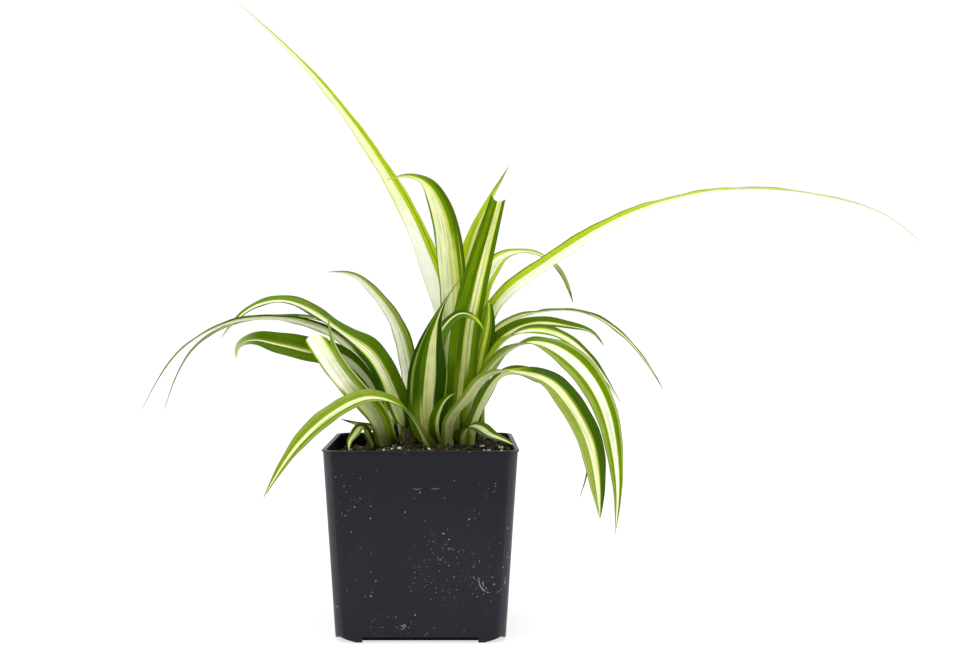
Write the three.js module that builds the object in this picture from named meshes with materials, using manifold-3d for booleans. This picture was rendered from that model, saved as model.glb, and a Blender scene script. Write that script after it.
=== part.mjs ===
// A potted spider plant: a thin black square nursery pot, its soil, and eight crowns of
// arching striped leaves, each leaf and each crown a piece of its own.
// Millimetres, +Z up. The origin is on the underside of the pot, at the middle of its base.
// +X is to the right and -Y is towards the viewer, with the long leaf reaching out to +X.

import * as THREE from "three";
import { mergeVertices } from "three/addons/utils/BufferGeometryUtils.js";
import Module from "manifold-3d";

const wasm = await Module();
wasm.setup();

// Driving dimensions of the pot.
const POT_HEIGHT = 94;
const POT_TOP_WIDTH = 96.8; // across the rim, flat to flat
const POT_BASE_WIDTH = 84; // across the foot of the walls
const WALL = 1.5;
const CORNER_RADIUS_BASE = 8;
const CORNER_RADIUS_TOP = 9;
const RIM_DEPTH = 1; // the flat flange at the top
const RIM_OVERHANG = 0.6; // how far the flange stands out of the wall
const RIM_WIDTH = 2.2; // across the flange
const RIM_BEVEL = 0.2; // along the flange's upper outer edge
const RIM_RISE = 0.1; // how much the flange's underside slopes up to its outer edge
const INNER_LEDGE = 0.8; // how far below the flange the inside of the wall begins
const FOOT_HEIGHT = 2.5; // the walls end this far above the ground, between the feet
const RECESS_WIDTH = 2.4; // the groove between a wall's foot and the base pan
const RECESS_TOP = 3.2;
const RECESS_DRAFT = 0.2; // how much the pan's side leans out on the way up
const PAN_THICKNESS = 1.6;
const PAN_BORDER = 1; // from the pan's side to the inner edge of its underside ring
const PAN_WELL_INSET = 1.4; // from the pan's side to the foot of its inner wall
const DRAIN_RADIUS = 4;
const DRAIN_OFFSET = 24;
const CORNER_STEPS = 6;

// Places of points along each straight side, as a share of the way from its middle to the
// start of the corner. A foot stands between the last two and runs out along the corner.
const FOOT_INNER = 0.833;
const FOOT_OUTER = 0.921;
const SIDE_STATIONS = [
  -FOOT_OUTER, -FOOT_INNER, -FOOT_INNER + 0.003, 0, FOOT_INNER - 0.003, FOOT_INNER, FOOT_OUTER,
];
const FOOT_RAMP = 9; // the length over which a foot rises again towards the corner

// Driving dimensions of the soil and the crowns.
const CLEARANCE = 0.3; // between pieces that stand in one another
const SOIL_LEVEL = 92;
const SOIL_DIP = 5.5; // how much lower the soil is along the left wall
const SOIL_EDGE_DROP = 1.2; // how much lower it is right beside the walls
const SOIL_SHOULDER = 80; // where the soil leaves the wall and its uneven surface begins
const SOIL_CHAMFER = 0.4; // round the foot of the soil
const SOIL_STEPS = 12; // rings from the wall to the middle of the surface
const HOLE_HEADROOM = 6; // how far the cutting cylinders stand out above the pot
const CROWN_FLOOR = 84; // the bottom of the planting holes
const CROWN_HEIGHT = 8;
const CROWN_RADIUS = 2;
const RING_RADII = [0, 2.8, 4.6, 6.4]; // where leaves root around a crown, ring by ring
const HOLE_MARGIN = 1.5; // from the outermost ring to the hole's wall

// Driving dimensions common to every leaf.
const LEAF_THICKNESS = 0.7;
const ROOT_WIDTH = 4.6;
const ROOT_RISE = 9; // how far a leaf stands straight up before it goes its own way
const SEGMENT_LENGTH = 9;
const CHANNEL_AT_ROOT = 0.55; // how far the margins rise, as a share of the half width
const CHANNEL_AT_BLADE = 0.3;
const CHANNEL_AT_TIP = 0.12;

// Each crown's place on the soil and the outermost ring that holds a leaf.
const CROWNS = {
  left: { at: [-19, 4], rings: 3 },
  middle: { at: [-6, 8], rings: 2 },
  front: { at: [11, -1], rings: 3 },
  right: { at: [21, 4], rings: 3 },
  inner: { at: [19, 18], rings: 2 },
  back_left: { at: [-4, 25], rings: 2 },
  back: { at: [12, 37], rings: 2 },
  back_right: { at: [30, 29], rings: 2 },
};

const GREEN = 0x4f8a1c;
const DARK_GREEN = 0x35650f;
const LIME = 0xa9cc3a;
const PALE = 0xd3e0a4;
const DRIED = 0x6b5a3a;
const POT_BLACK = 0x2b2c30;
const SOIL_BROWN = 0x2a1f16;
const CROWN_CREAM = 0xb9bd8a;
const ROUGHNESS = { pot: 0.45, soil: 0.95, crown: 0.7, leaf: 0.5 };

// Each leaf roots at its crown, on a ring, at an angle in degrees from +X towards +Y.
// path: points of its midrib after it leaves the crown, chosen by hand.
// face: where its upper side looks, at even steps from a fifth of its length to its tip.
// width: across the blade where it is widest, at the share of its length given by peak.
// taper, slim: how the width falls from there to the tip. A larger taper keeps the blade
// wide for longer, and a larger slim draws its end out thinner.
// tip: the width left at the end, as a share of width, for leaves that were cut across.
const LEAVES = {
  tall_left: {
    crown: "inner", ring: 2, side: 130, width: 13, colour: LIME, peak: 0.36, taper: 0.95,
    path: [[18, 24, 130], [10, 29, 165], [-5, 34, 207], [-30, 40, 251], [-61, 45, 292], [-104, 50, 334]],
    face: [[0.3, -0.9, 0.2], [0.4, -0.85, 0.3], [0.4, -0.8, 0.4], [0.5, -0.7, 0.5]],
  },
  long_right: {
    crown: "inner", ring: 2, side: 62, width: 9.5, colour: LIME, peak: 0.3,
    path: [
      [24, 26, 112], [29, 29, 133], [39, 33, 164.5], [61.5, 40, 184], [98, 48, 207.5],
      [141, 54, 225], [193, 58, 231], [231, 58, 226], [260, 56, 216], [279, 54, 201],
    ],
    face: [[-0.4, -0.8, 0.4], [-0.2, -0.8, 0.6], [0, -0.3, 0.95], [0.1, -0.25, 0.95], [0.4, -0.3, 0.8]],
  },
  curled_centre: {
    crown: "inner", ring: 2, side: 202, width: 15, colour: PALE, peak: 0.62, taper: 2.2,
    path: [
      [15, 18, 141], [16, 20, 165], [14.5, 22, 188], [11.3, 21, 209.3], [6.2, 18, 222.8],
      [1.3, 14, 229.3], [-6, 10, 232.8], [-19, 8, 231],
    ],
    face: [[0.1, -1, 0.1], [0.1, -1, 0.15], [0.2, -0.95, 0.2], [0.1, -0.85, 0.45], [0, -0.4, 0.95]],
  },
  thin_behind: {
    crown: "back_left", ring: 2, side: 20, width: 8, colour: LIME, peak: 0.5,
    path: [[5, 31, 108], [14, 35, 130], [19, 36, 155], [21, 36, 184], [29, 36, 209], [46.5, 36, 241]],
    face: [[-0.1, -1, 0.1], [-0.2, -1, 0.1]],
  },
  cut_upright: {
    crown: "right", ring: 2, side: 155, width: 15.2, colour: DARK_GREEN, peak: 0.45, tip: 0.52,
    path: [[18, 4, 107], [20, 6, 128], [23.3, 9, 157], [30.4, 14, 188], [40, 20, 222]],
    face: [[0, -1, 0.1], [0, -1, 0.1]],
  },
  small_hook: {
    crown: "front", ring: 2, side: 100, width: 9.5, colour: GREEN, peak: 0.6,
    path: [[7, 5, 112], [6, 6, 136], [12, 5, 153], [21, 3, 160], [27, 1, 158], [32, 0, 152]],
    face: [[0.2, -1, 0.1], [-0.2, -0.9, 0.2], [-0.4, -0.8, 0.5], [0.5, -0.7, 0.5]],
  },
  broad_front: {
    crown: "front", ring: 3, side: 175, width: 20.5, colour: DARK_GREEN, peak: 0.42, taper: 2, slim: 4,
    path: [[2, -1, 108], [3, -3, 129], [5.5, -5, 149], [12, -7, 167], [21, -8, 180]],
    face: [[0, -1, 0.1], [0, -1, 0.1], [-0.2, -1, 0.2]],
  },
  young_front: {
    crown: "front", ring: 1, side: 80, width: 9, colour: GREEN, peak: 0.5,
    path: [[8, -8, 104], [10, -11, 112], [13, -14, 117], [17, -16, 120]],
    face: [[-0.1, -1, 0.1], [-0.2, -1, 0.1]],
  },
  front_left: {
    crown: "front", ring: 3, side: -105, width: 12.2, colour: GREEN, peak: 0.58,
    path: [[-8, -28, 112.5], [-24, -38, 119.2], [-39, -50, 114], [-56, -62, 100], [-72, -72, 75]],
    face: [[0.2, -0.25, 1], [0, -0.45, 0.9], [-0.3, -0.7, 0.65], [-0.5, -0.75, 0.4], [-0.6, -0.75, 0.2]],
  },
  wide_left: {
    crown: "middle", ring: 2, side: -95, width: 16, colour: GREEN, peak: 0.4,
    path: [
      [-11, 2, 105], [-18.5, 0, 126], [-27.5, -2, 140.3], [-38, -1.5, 148], [-49, 0, 155.7],
      [-70, 5, 166.8], [-91, 9, 163.3], [-106.5, 11, 148],
    ],
    face: [
      [0.5, -0.85, 0.25], [0.5, -0.75, 0.45], [0.25, -0.25, 0.95], [0, -0.3, 0.95],
      [-0.3, -0.55, 0.8], [-0.6, -0.6, 0.5],
    ],
  },
  long_left: {
    crown: "middle", ring: 1, side: 175, width: 8, colour: PALE, peak: 0.4,
    path: [
      [-16, 10, 112], [-29, 11, 130], [-42, 9, 145], [-58, 4, 154], [-81, -3, 158], [-103, -9, 154.3],
      [-123, -16, 141.5], [-140.5, -22, 112.5],
    ],
    face: [[0.4, 0.5, 0.7], [0.2, 0.6, 0.75], [0, 0.4, 0.9], [-0.4, 0.1, 0.9], [-0.8, -0.2, 0.5]],
  },
  thin_left: {
    crown: "middle", ring: 2, side: 115, width: 5, colour: GREEN, peak: 0.4,
    path: [
      [-16, 16, 112], [-26, 17, 132], [-39, 15, 148.5], [-56, 12, 157.5], [-75, 8, 158.7],
      [-99, 3, 155], [-118, -3, 143], [-132, -10, 111.5],
    ],
    face: [[0.3, -0.5, 0.8], [0, -0.4, 0.95], [-0.5, -0.3, 0.8]],
  },
  dark_left: {
    crown: "left", ring: 2, side: 170, width: 16.5, colour: DARK_GREEN, peak: 0.5,
    path: [
      [-26, 4, 117], [-35, 1, 130], [-46, -1, 137.6], [-58, -3, 141], [-68, -5, 143.6],
      [-78, -6, 145.8], [-88, -8, 147], [-94, -9, 144], [-95.5, -9, 137.5],
    ],
    face: [[0.3, -0.8, 0.5], [0.1, -0.75, 0.65], [-0.3, -0.7, 0.6]],
  },
  cut_left: {
    crown: "left", ring: 2, side: -90, width: 12.5, colour: PALE, peak: 0.75, tip: 0.95,
    path: [[-24, -6, 104], [-35, -11, 119], [-46, -15, 134], [-55, -18, 149]],
    face: [[0.5, 0.8, 0.3], [0.5, 0.8, 0.4]],
  },
  folded_left: {
    crown: "left", ring: 2, side: -20, width: 6.5, colour: LIME, peak: 0.5,
    path: [[-20, -12, 109], [-29, -18, 121], [-38, -22, 133], [-44, -23, 144], [-47, -22, 159]],
    face: [[0.6, 0.6, 0.4], [0.7, 0.6, 0.3]],
  },
  shoot_left: {
    crown: "left", ring: 1, side: 60, width: 4, colour: GREEN, peak: 0.5,
    path: [[-18, 2, 104], [-23, -2, 112], [-30, -4, 120], [-37, -7, 128]],
    face: [[0.2, -1, 0.3], [0.2, -1, 0.3]],
  },
  low_left: {
    crown: "left", ring: 3, side: 225, width: 5.5, colour: GREEN, peak: 0.6,
    path: [[-31, -8, 102], [-34, -16, 99], [-36, -23, 96], [-36, -28, 92]],
    face: [[0, -0.5, 0.9], [-0.2, -0.8, 0.6], [-0.2, -0.9, 0.3]],
  },
  dry_left: {
    crown: "left", ring: 3, side: 95, width: 5, colour: DRIED, peak: 0.4,
    path: [[-24, 12, 98], [-34, 10, 102], [-43, 7, 105]],
    face: [[0, -0.6, 0.8], [0, -0.6, 0.8]],
  },
  back_left: {
    crown: "back_left", ring: 2, side: 185, width: 12, colour: PALE, peak: 0.42,
    path: [
      [-7, 27, 114], [-9.5, 29, 135], [-17, 33, 157.8], [-29, 37, 173.7], [-36, 39, 180],
      [-44, 41, 183], [-53, 42, 183.4],
    ],
    face: [[0.4, 0.8, 0.2], [0.5, 0.75, 0.4], [0.3, 0.6, 0.75]],
  },
  right_high: {
    crown: "inner", ring: 2, side: -14, width: 9, colour: GREEN, peak: 0.35, taper: 2.6,
    path: [
      [25, 20, 114], [31, 21, 140], [42, 23, 153], [62, 25, 161], [85, 27, 161.3], [104, 28, 152],
      [119.5, 27, 135.5], [129.5, 25, 119.5],
    ],
    face: [[-0.6, 0.4, 0.5], [-0.3, 0.4, 0.85], [0.1, -0.1, 1], [0.5, -0.4, 0.75], [0.8, -0.4, 0.4]],
  },
  right_dark: {
    crown: "inner", ring: 2, side: -82, width: 8.5, colour: DARK_GREEN, peak: 0.45, taper: 2.2,
    path: [
      [25, 15, 112], [32, 15, 135], [43, 14, 149], [62, 11, 156], [79.5, 8, 153.8], [89, 6, 150.7],
      [95, 4, 143.5],
    ],
    face: [[-0.6, -0.6, 0.4], [-0.2, -0.8, 0.6], [0.3, -0.7, 0.65]],
  },
  right_lime: {
    crown: "right", ring: 1, side: 40, width: 10.5, colour: LIME, peak: 0.5, taper: 2,
    path: [
      [27, 4, 111], [33, 2, 130], [43, -1, 146.5], [57, -6, 151.7], [72, -12, 148.5], [86.5, -18, 136],
      [100, -24, 116],
    ],
    face: [[-0.7, 0.4, 0.5], [-0.3, 0.2, 0.95], [0.3, -0.5, 0.8], [0.6, -0.7, 0.4], [0.8, -0.6, 0.2]],
  },
  right_long: {
    crown: "right", ring: 2, side: -12, width: 16, colour: GREEN, peak: 0.45, taper: 2, slim: 1.2,
    path: [
      [25, -1, 107], [32, -4, 126], [43, -10, 140], [55, -18, 145.5], [73, -28, 138],
      [82.5, -35, 128], [90, -41, 113], [93.5, -45, 97], [95.3, -48, 78], [94, -50, 54],
    ],
    face: [[-0.6, 0.6, 0.5], [-0.3, 0, 0.95], [0.2, -0.85, 0.5], [0.3, -0.95, 0.2], [0.3, -0.95, 0.05]],
  },
  right_front: {
    crown: "front", ring: 3, side: -50, width: 15, colour: PALE, peak: 0.62, taper: 2.8,
    path: [
      [15, -10, 104], [23, -17, 116], [31, -22, 126.5], [40, -29, 131.5], [50, -35, 131],
      [57, -38, 129.5], [64.3, -42, 125.8], [70, -46, 119.8], [76.2, -50, 110.3], [80.6, -53, 100.5],
      [83.3, -55, 90], [85, -57, 76], [85.8, -58, 63],
    ],
    face: [
      [-0.6, 0.6, 0.4], [-0.4, 0.35, 0.9], [0.1, -0.4, 0.9], [0.4, -0.8, 0.4], [0.4, -0.85, 0.2],
      [0.4, -0.85, 0.1],
    ],
  },
  right_back: {
    crown: "right", ring: 3, side: -46, width: 9, colour: PALE, peak: 0.4,
    path: [
      [27, -3, 103], [32, -2, 115], [39, 0, 126], [48, 5, 130], [59, 9, 127], [67, 12, 123],
      [79, 16, 110], [87, 18, 93], [88, 19, 78], [84, 20, 62],
    ],
    face: [[-0.6, 0.7, 0.4], [-0.3, 0.4, 0.9], [0.4, 0.4, 0.8], [0.9, 0.1, 0.3]],
  },
  over_soil: {
    crown: "right", ring: 2, side: -113, width: 9, colour: GREEN, peak: 0.55,
    path: [[22, -11, 101], [28, -20, 103], [34, -29, 100], [41, -36, 98], [46, -41, 96]],
    face: [[0, -0.3, 0.9], [0.2, -0.6, 0.75], [0.3, -0.6, 0.7]],
  },
  curl_right: {
    crown: "right", ring: 2, side: 75, width: 9.5, colour: PALE, peak: 0.6,
    path: [[28, 9, 115], [32, 11, 141], [35, 14, 156], [35, 18, 166], [34, 24, 168]],
    face: [[-0.1, -1, 0.1], [0.1, -1, 0.1], [0.2, -0.8, -0.5]],
  },
  lime_arch: {
    crown: "back_right", ring: 2, side: 60, width: 14.5, colour: LIME, peak: 0.5, taper: 2.3,
    path: [
      [29, 38, 124], [28, 41, 157], [31, 42, 173], [36.5, 43, 183.5], [42.5, 46, 191],
      [50, 49, 194.2], [63, 52, 193.6], [75, 53, 185.3], [83, 50, 166.5],
    ],
    face: [[-0.4, -0.9, 0.2], [-0.4, -0.8, 0.4], [0, -0.2, 1], [0.8, -0.5, 0.4]],
  },
  low_back_left: {
    crown: "back_left", ring: 2, side: 110, width: 12, colour: GREEN, peak: 0.5,
    path: [[-10, 44, 112], [-14, 62, 117], [-20, 82, 104], [-26, 96, 78], [-30, 102, 50]],
    face: [[0, -0.5, 0.9], [0, 0.3, 1], [0, 0.9, 0.5], [0, 1, 0.1]],
  },
  arch_back: {
    crown: "back", ring: 2, side: 60, width: 11, colour: GREEN, peak: 0.5,
    path: [[14, 42, 122], [15, 54, 140], [16, 78, 142], [15, 100, 122], [14, 119, 90], [13, 128, 58]],
    face: [[0, -0.6, 0.8], [0, 0.1, 1], [0, 0.8, 0.6], [0, 1, 0.1]],
  },
  low_back: {
    crown: "back", ring: 2, side: 150, width: 12, colour: DARK_GREEN, peak: 0.5,
    path: [[5, 47, 108], [2, 64, 112], [0, 84, 96], [0, 98, 68], [0, 104, 40]],
    face: [[0, -0.5, 0.9], [0, 0.3, 1], [0, 0.9, 0.5], [0, 1, 0.1]],
  },
  low_back_right: {
    crown: "back_right", ring: 2, side: 165, width: 11, colour: GREEN, peak: 0.5,
    path: [[20, 42, 112], [19, 58, 118], [20, 80, 104], [22, 96, 78], [23, 104, 50]],
    face: [[0, -0.5, 0.9], [0, 0.3, 1], [0, 0.9, 0.5], [0, 1, 0.1]],
  },
};

const smooth = (t) => t * t * (3 - 2 * t);
const between = (low, high, x) => Math.min(1, Math.max(0, (x - low) / (high - low)));

function geometryOf(positions, index) {
  return new THREE.BufferGeometry()
    .setAttribute("position", new THREE.Float32BufferAttribute(positions, 3))
    .setIndex(index);
}

// ---- booleans --------------------------------------------------------------------------

function solidOf(geometry) {
  const bare = geometry.clone();
  bare.deleteAttribute("normal");
  bare.deleteAttribute("uv");
  const merged = mergeVertices(bare);
  const mesh = new wasm.Mesh({
    numProp: 3,
    vertProperties: merged.attributes.position.array,
    triVerts: new Uint32Array(merged.index.array),
  });
  return new wasm.Manifold(mesh);
}

function cutAway(geometry, tools) {
  let solid = solidOf(geometry);
  for (const tool of tools) solid = solid.subtract(solidOf(tool));
  const mesh = solid.getMesh();
  return geometryOf(mesh.vertProperties, new THREE.BufferAttribute(mesh.triVerts, 1));
}

function uprightCylinder(radius, bottom, top, [x, y], sides) {
  return new THREE.CylinderGeometry(radius, radius, top - bottom, sides)
    .rotateX(Math.PI / 2)
    .translate(x, y, (bottom + top) / 2);
}

// ---- rounded square rings, for the pot and the soil ---------------------------------------

// Points round a rounded square, anticlockwise. Each also knows how far it is along the
// wall from the outer end of the nearest foot, or null between the feet.
function squareRing(half, radius, heightAt) {
  const reach = half - radius;
  const points = [];
  for (let side = 0; side < 4; side++) {
    const turn = (side * Math.PI) / 2;
    const add = (x, y, fromFoot) => {
      const px = x * Math.cos(turn) - y * Math.sin(turn);
      const py = x * Math.sin(turn) + y * Math.cos(turn);
      points.push(new THREE.Vector3(px, py, heightAt(px, py, fromFoot)));
    };
    for (const share of SIDE_STATIONS) {
      const inFoot = Math.abs(share) >= FOOT_INNER;
      add(half, share * reach, inFoot ? 0 : null);
    }
    for (let step = 0; step <= CORNER_STEPS; step++) {
      const angle = (step / CORNER_STEPS) * (Math.PI / 2);
      const fromFoot = (1 - FOOT_OUTER) * reach + radius * Math.min(angle, Math.PI / 2 - angle);
      add(reach + radius * Math.cos(angle), reach + radius * Math.sin(angle), fromFoot);
    }
  }
  return points;
}

const level = (z) => () => z;

// Joins rings into one closed surface, from a cap over the first to a cap over the last.
function skinOver(rings, firstCentre, lastCentre) {
  const count = rings[0].length;
  const positions = rings.flat().flatMap((p) => [p.x, p.y, p.z]);
  positions.push(...firstCentre, ...lastCentre);
  const first = rings.length * count;
  const last = first + 1;
  const index = [];
  for (let k = 0; k < count; k++) {
    const next = (k + 1) % count;
    index.push(first, next, k);
    for (let ring = 0; ring + 1 < rings.length; ring++) {
      const a = ring * count + k;
      const b = ring * count + next;
      index.push(a, b, b + count, a, b + count, a + count);
    }
    const top = (rings.length - 1) * count;
    index.push(top + k, top + next, last);
  }
  return geometryOf(positions, index);
}

// ---- the pot -------------------------------------------------------------------------------

const wallTop = POT_HEIGHT - RIM_DEPTH;
const wallTopHalf = POT_TOP_WIDTH / 2 - RIM_OVERHANG;
const wallFootHalf = POT_BASE_WIDTH / 2;
const wallHalfAt = (z) => THREE.MathUtils.lerp(wallFootHalf, wallTopHalf, z / wallTop);
const cornerAt = (z) => THREE.MathUtils.lerp(CORNER_RADIUS_BASE, CORNER_RADIUS_TOP, z / wallTop);

function footHeight(x, y, fromFoot) {
  if (fromFoot === null) return FOOT_HEIGHT;
  return FOOT_HEIGHT * between(0, FOOT_RAMP, fromFoot);
}

function potGeometry() {
  const inset = (z, depth, heightAt = level(z)) =>
    squareRing(wallHalfAt(z) - depth, cornerAt(z) - Math.min(depth, WALL), heightAt);
  const panInset = WALL + RECESS_WIDTH;
  const rimHalf = POT_TOP_WIDTH / 2;
  const rimInner = rimHalf - RIM_WIDTH;
  const rim = (half, z) => squareRing(half, CORNER_RADIUS_TOP - (rimHalf - half), level(z));
  const rings = [
    inset(0, panInset + PAN_BORDER, level(0)),
    inset(0, panInset, level(0)),
    inset(0, panInset - RECESS_DRAFT, level(RECESS_TOP)),
    inset(0, WALL, level(RECESS_TOP)),
    inset(0, WALL, footHeight),
    inset(0, 0, footHeight),
    inset(FOOT_HEIGHT, 0),
    inset(POT_HEIGHT / 2, 0),
    inset(wallTop, 0),
    rim(rimHalf, wallTop + RIM_RISE),
    rim(rimHalf, POT_HEIGHT - RIM_BEVEL),
    rim(rimHalf - RIM_BEVEL, POT_HEIGHT),
    rim(rimInner, POT_HEIGHT),
    rim(rimInner, wallTop),
    inset(wallTop - INNER_LEDGE, WALL),
    inset(RECESS_TOP + PAN_THICKNESS, WALL),
    inset(RECESS_TOP + PAN_THICKNESS, panInset + PAN_BORDER),
    inset(PAN_THICKNESS, panInset + PAN_WELL_INSET),
  ];
  const shell = skinOver(rings, [0, 0, 0], [0, 0, PAN_THICKNESS]);
  const drains = [-1, 1].flatMap((sx) =>
    [-1, 1].map((sy) =>
      uprightCylinder(DRAIN_RADIUS, -1, PAN_THICKNESS + 1, [sx * DRAIN_OFFSET, sy * DRAIN_OFFSET], 16),
    ),
  );
  return cutAway(shell, drains);
}

// ---- the soil ------------------------------------------------------------------------------

// The lie of the soil: level to the right, dipping along the left wall, with small lumps
// and grains that are crossed waves.
function soilHeight(x, y) {
  const dip = SOIL_DIP * smooth(between(12, 40, -x));
  const edge = SOIL_EDGE_DROP * smooth(between(36, 47, Math.max(Math.abs(x), Math.abs(y))));
  const lumps = 0.5 * Math.sin(0.43 * x + 1.3) * Math.sin(0.39 * y + 0.4);
  const grains = 0.35 * Math.sin(1.13 * x + 0.7 * y) * Math.sin(0.91 * y - 0.5 * x + 2);
  return SOIL_LEVEL - dip - edge + lumps + grains;
}

function soilGeometry() {
  const panHalf = wallFootHalf - WALL - RECESS_WIDTH - PAN_WELL_INSET - CLEARANCE;
  const ledge = RECESS_TOP + PAN_THICKNESS + CLEARANCE;
  const radius = CORNER_RADIUS_BASE - WALL;
  const inWall = (z) => wallHalfAt(z) - WALL - CLEARANCE;
  const surfaceHalf = inWall(SOIL_SHOULDER);
  const surfaceRadius = cornerAt(SOIL_SHOULDER) - WALL;
  const rings = [
    squareRing(panHalf - SOIL_CHAMFER, radius, level(PAN_THICKNESS + CLEARANCE)),
    squareRing(panHalf, radius, level(ledge)),
    squareRing(inWall(ledge), radius, level(ledge)),
    squareRing(surfaceHalf, surfaceRadius, level(SOIL_SHOULDER)),
  ];
  for (let step = 0; step < SOIL_STEPS; step++) {
    const share = 1 - step / SOIL_STEPS;
    rings.push(squareRing(surfaceHalf * share, surfaceRadius * share, soilHeight));
  }
  const bulk = skinOver(rings, [0, 0, PAN_THICKNESS + CLEARANCE], [0, 0, soilHeight(0, 0)]);
  const holes = Object.values(CROWNS).map(({ at, rings: outermost }) =>
    uprightCylinder(RING_RADII[outermost] + HOLE_MARGIN, CROWN_FLOOR, POT_HEIGHT + HOLE_HEADROOM, at, 20),
  );
  return cutAway(bulk, holes);
}

// ---- the crowns and leaves -----------------------------------------------------------------

function crownGeometry([x, y]) {
  const profile = [[0, 0], [0.9, 0], [1, 0.2], [1, 0.7], [0.7, 0.92], [0, 1]];
  const points = profile.map(([r, h]) => new THREE.Vector2(r * CROWN_RADIUS, h * CROWN_HEIGHT));
  return new THREE.LatheGeometry(points, 10)
    .rotateX(Math.PI / 2)
    .translate(x, y, CROWN_FLOOR + CLEARANCE);
}

// A natural cubic spline through points, timed by the straight distance between them.
class MidribCurve extends THREE.Curve {
  constructor(points) {
    super();
    this.points = points;
    const last = points.length - 1;
    this.knots = [0];
    for (let i = 1; i <= last; i++) {
      this.knots.push(this.knots[i - 1] + points[i].distanceTo(points[i - 1]));
    }
    this.bends = points.map(() => new THREE.Vector3());
    const slope = (i) =>
      points[i + 1].clone().sub(points[i]).divideScalar(this.knots[i + 1] - this.knots[i]);
    const pivot = [];
    for (let i = 1; i < last; i++) {
      const before = this.knots[i] - this.knots[i - 1];
      const after = this.knots[i + 1] - this.knots[i];
      const known = slope(i).sub(slope(i - 1)).multiplyScalar(6);
      pivot[i] = 2 * (before + after);
      if (i > 1) {
        pivot[i] -= (before * before) / pivot[i - 1];
        known.addScaledVector(this.bends[i - 1], -before / pivot[i - 1]);
      }
      this.bends[i] = known;
    }
    for (let i = last - 1; i > 0; i--) {
      const after = this.knots[i + 1] - this.knots[i];
      this.bends[i].addScaledVector(this.bends[i + 1], -after).divideScalar(pivot[i]);
    }
  }

  getPoint(t, target = new THREE.Vector3()) {
    const along = t * this.knots.at(-1);
    let i = 0;
    while (i < this.points.length - 2 && along > this.knots[i + 1]) i++;
    const span = this.knots[i + 1] - this.knots[i];
    const b = (along - this.knots[i]) / span;
    const a = 1 - b;
    return target
      .set(0, 0, 0)
      .addScaledVector(this.points[i], a)
      .addScaledVector(this.points[i + 1], b)
      .addScaledVector(this.bends[i], ((a * a * a - a) * span * span) / 6)
      .addScaledVector(this.bends[i + 1], ((b * b * b - b) * span * span) / 6);
  }
}

// The midrib: up out of the planting hole beside the crown, then along the leaf's own path.
function midribOf({ crown, ring, side, path }) {
  const [x, y] = CROWNS[crown].at;
  const angle = THREE.MathUtils.degToRad(side);
  const foot = new THREE.Vector3(
    x + RING_RADII[ring] * Math.cos(angle),
    y + RING_RADII[ring] * Math.sin(angle),
    CROWN_FLOOR + 2 * CLEARANCE,
  );
  const collar = foot.clone().setZ(foot.z + ROOT_RISE);
  return new MidribCurve([foot, collar, ...path.map((p) => new THREE.Vector3(...p))]);
}

// Where the upper side looks at a share u of the length.
function faceAt({ side, face }, u) {
  const angle = THREE.MathUtils.degToRad(side);
  const inward = new THREE.Vector3(-Math.cos(angle), -Math.sin(angle), 0);
  const looks = [inward, ...face.map((f) => new THREE.Vector3(...f).normalize())];
  const first = 0.2;
  const steps = face.length - 1;
  if (u < first) return looks[0].lerp(looks[1], smooth(u / first));
  const step = Math.min(steps - 1, Math.floor(((u - first) / (1 - first)) * steps));
  const share = ((u - first) / (1 - first)) * steps - step;
  return looks[step + 1].lerp(looks[step + 2], smooth(Math.min(1, share)));
}

function halfWidthAt({ width, peak, tip = 0.06, taper = 1.7, slim = 1 }, u) {
  const root = Math.min(1, ROOT_WIDTH / width);
  if (u < peak) return (width / 2) * (root + (1 - root) * smooth(u / peak));
  const fall = ((u - peak) / (1 - peak)) ** taper;
  return (width / 2) * (tip + (1 - tip) * (1 - fall) ** slim);
}

function channelAt(u) {
  const opened = THREE.MathUtils.lerp(CHANNEL_AT_ROOT, CHANNEL_AT_BLADE, smooth(between(0, 0.3, u)));
  return THREE.MathUtils.lerp(opened, CHANNEL_AT_TIP, smooth(between(0.4, 1, u)));
}

// A thin channelled blade: at each step, three points across its upper side and the same
// three below, so that both sides are split into triangles alike.
function leafGeometry(leaf) {
  const midrib = midribOf(leaf);
  const segments = THREE.MathUtils.clamp(Math.round(midrib.getLength() / SEGMENT_LENGTH), 8, 26);
  const positions = [];
  for (let i = 0; i <= segments; i++) {
    const u = i / segments;
    const centre = midrib.getPointAt(u);
    const along = midrib.getTangentAt(u);
    const up = faceAt(leaf, u);
    up.addScaledVector(along, -up.dot(along)).normalize();
    const across = along.clone().cross(up);
    const half = halfWidthAt(leaf, u);
    const rise = half * channelAt(u);
    for (const layer of [0, -LEAF_THICKNESS]) {
      for (const edge of [-1, 0, 1]) {
        const p = centre
          .clone()
          .addScaledVector(across, edge * half)
          .addScaledVector(up, Math.abs(edge) * rise + layer);
        positions.push(p.x, p.y, p.z);
      }
    }
  }
  return geometryOf(positions, bladeIndex(segments));
}

// Points 0 to 2 of a step are its upper side and 3 to 5 its lower side, left to right.
function bladeIndex(segments) {
  const index = [];
  for (let i = 0; i < segments; i++) {
    const here = i * 6;
    const next = here + 6;
    for (const j of [0, 1]) {
      index.push(here + j, here + j + 1, next + j + 1);
      index.push(here + j, next + j + 1, next + j);
      index.push(here + j + 3, next + j + 4, here + j + 4);
      index.push(here + j + 3, next + j + 3, next + j + 4);
    }
    index.push(here, next, next + 3, here, next + 3, here + 3);
    index.push(here + 2, here + 5, next + 5, here + 2, next + 5, next + 2);
  }
  const end = segments * 6;
  index.push(0, 3, 4, 0, 4, 1, 1, 4, 5, 1, 5, 2);
  index.push(end, end + 4, end + 3, end, end + 1, end + 4);
  index.push(end + 1, end + 5, end + 4, end + 1, end + 2, end + 5);
  return index;
}

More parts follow.
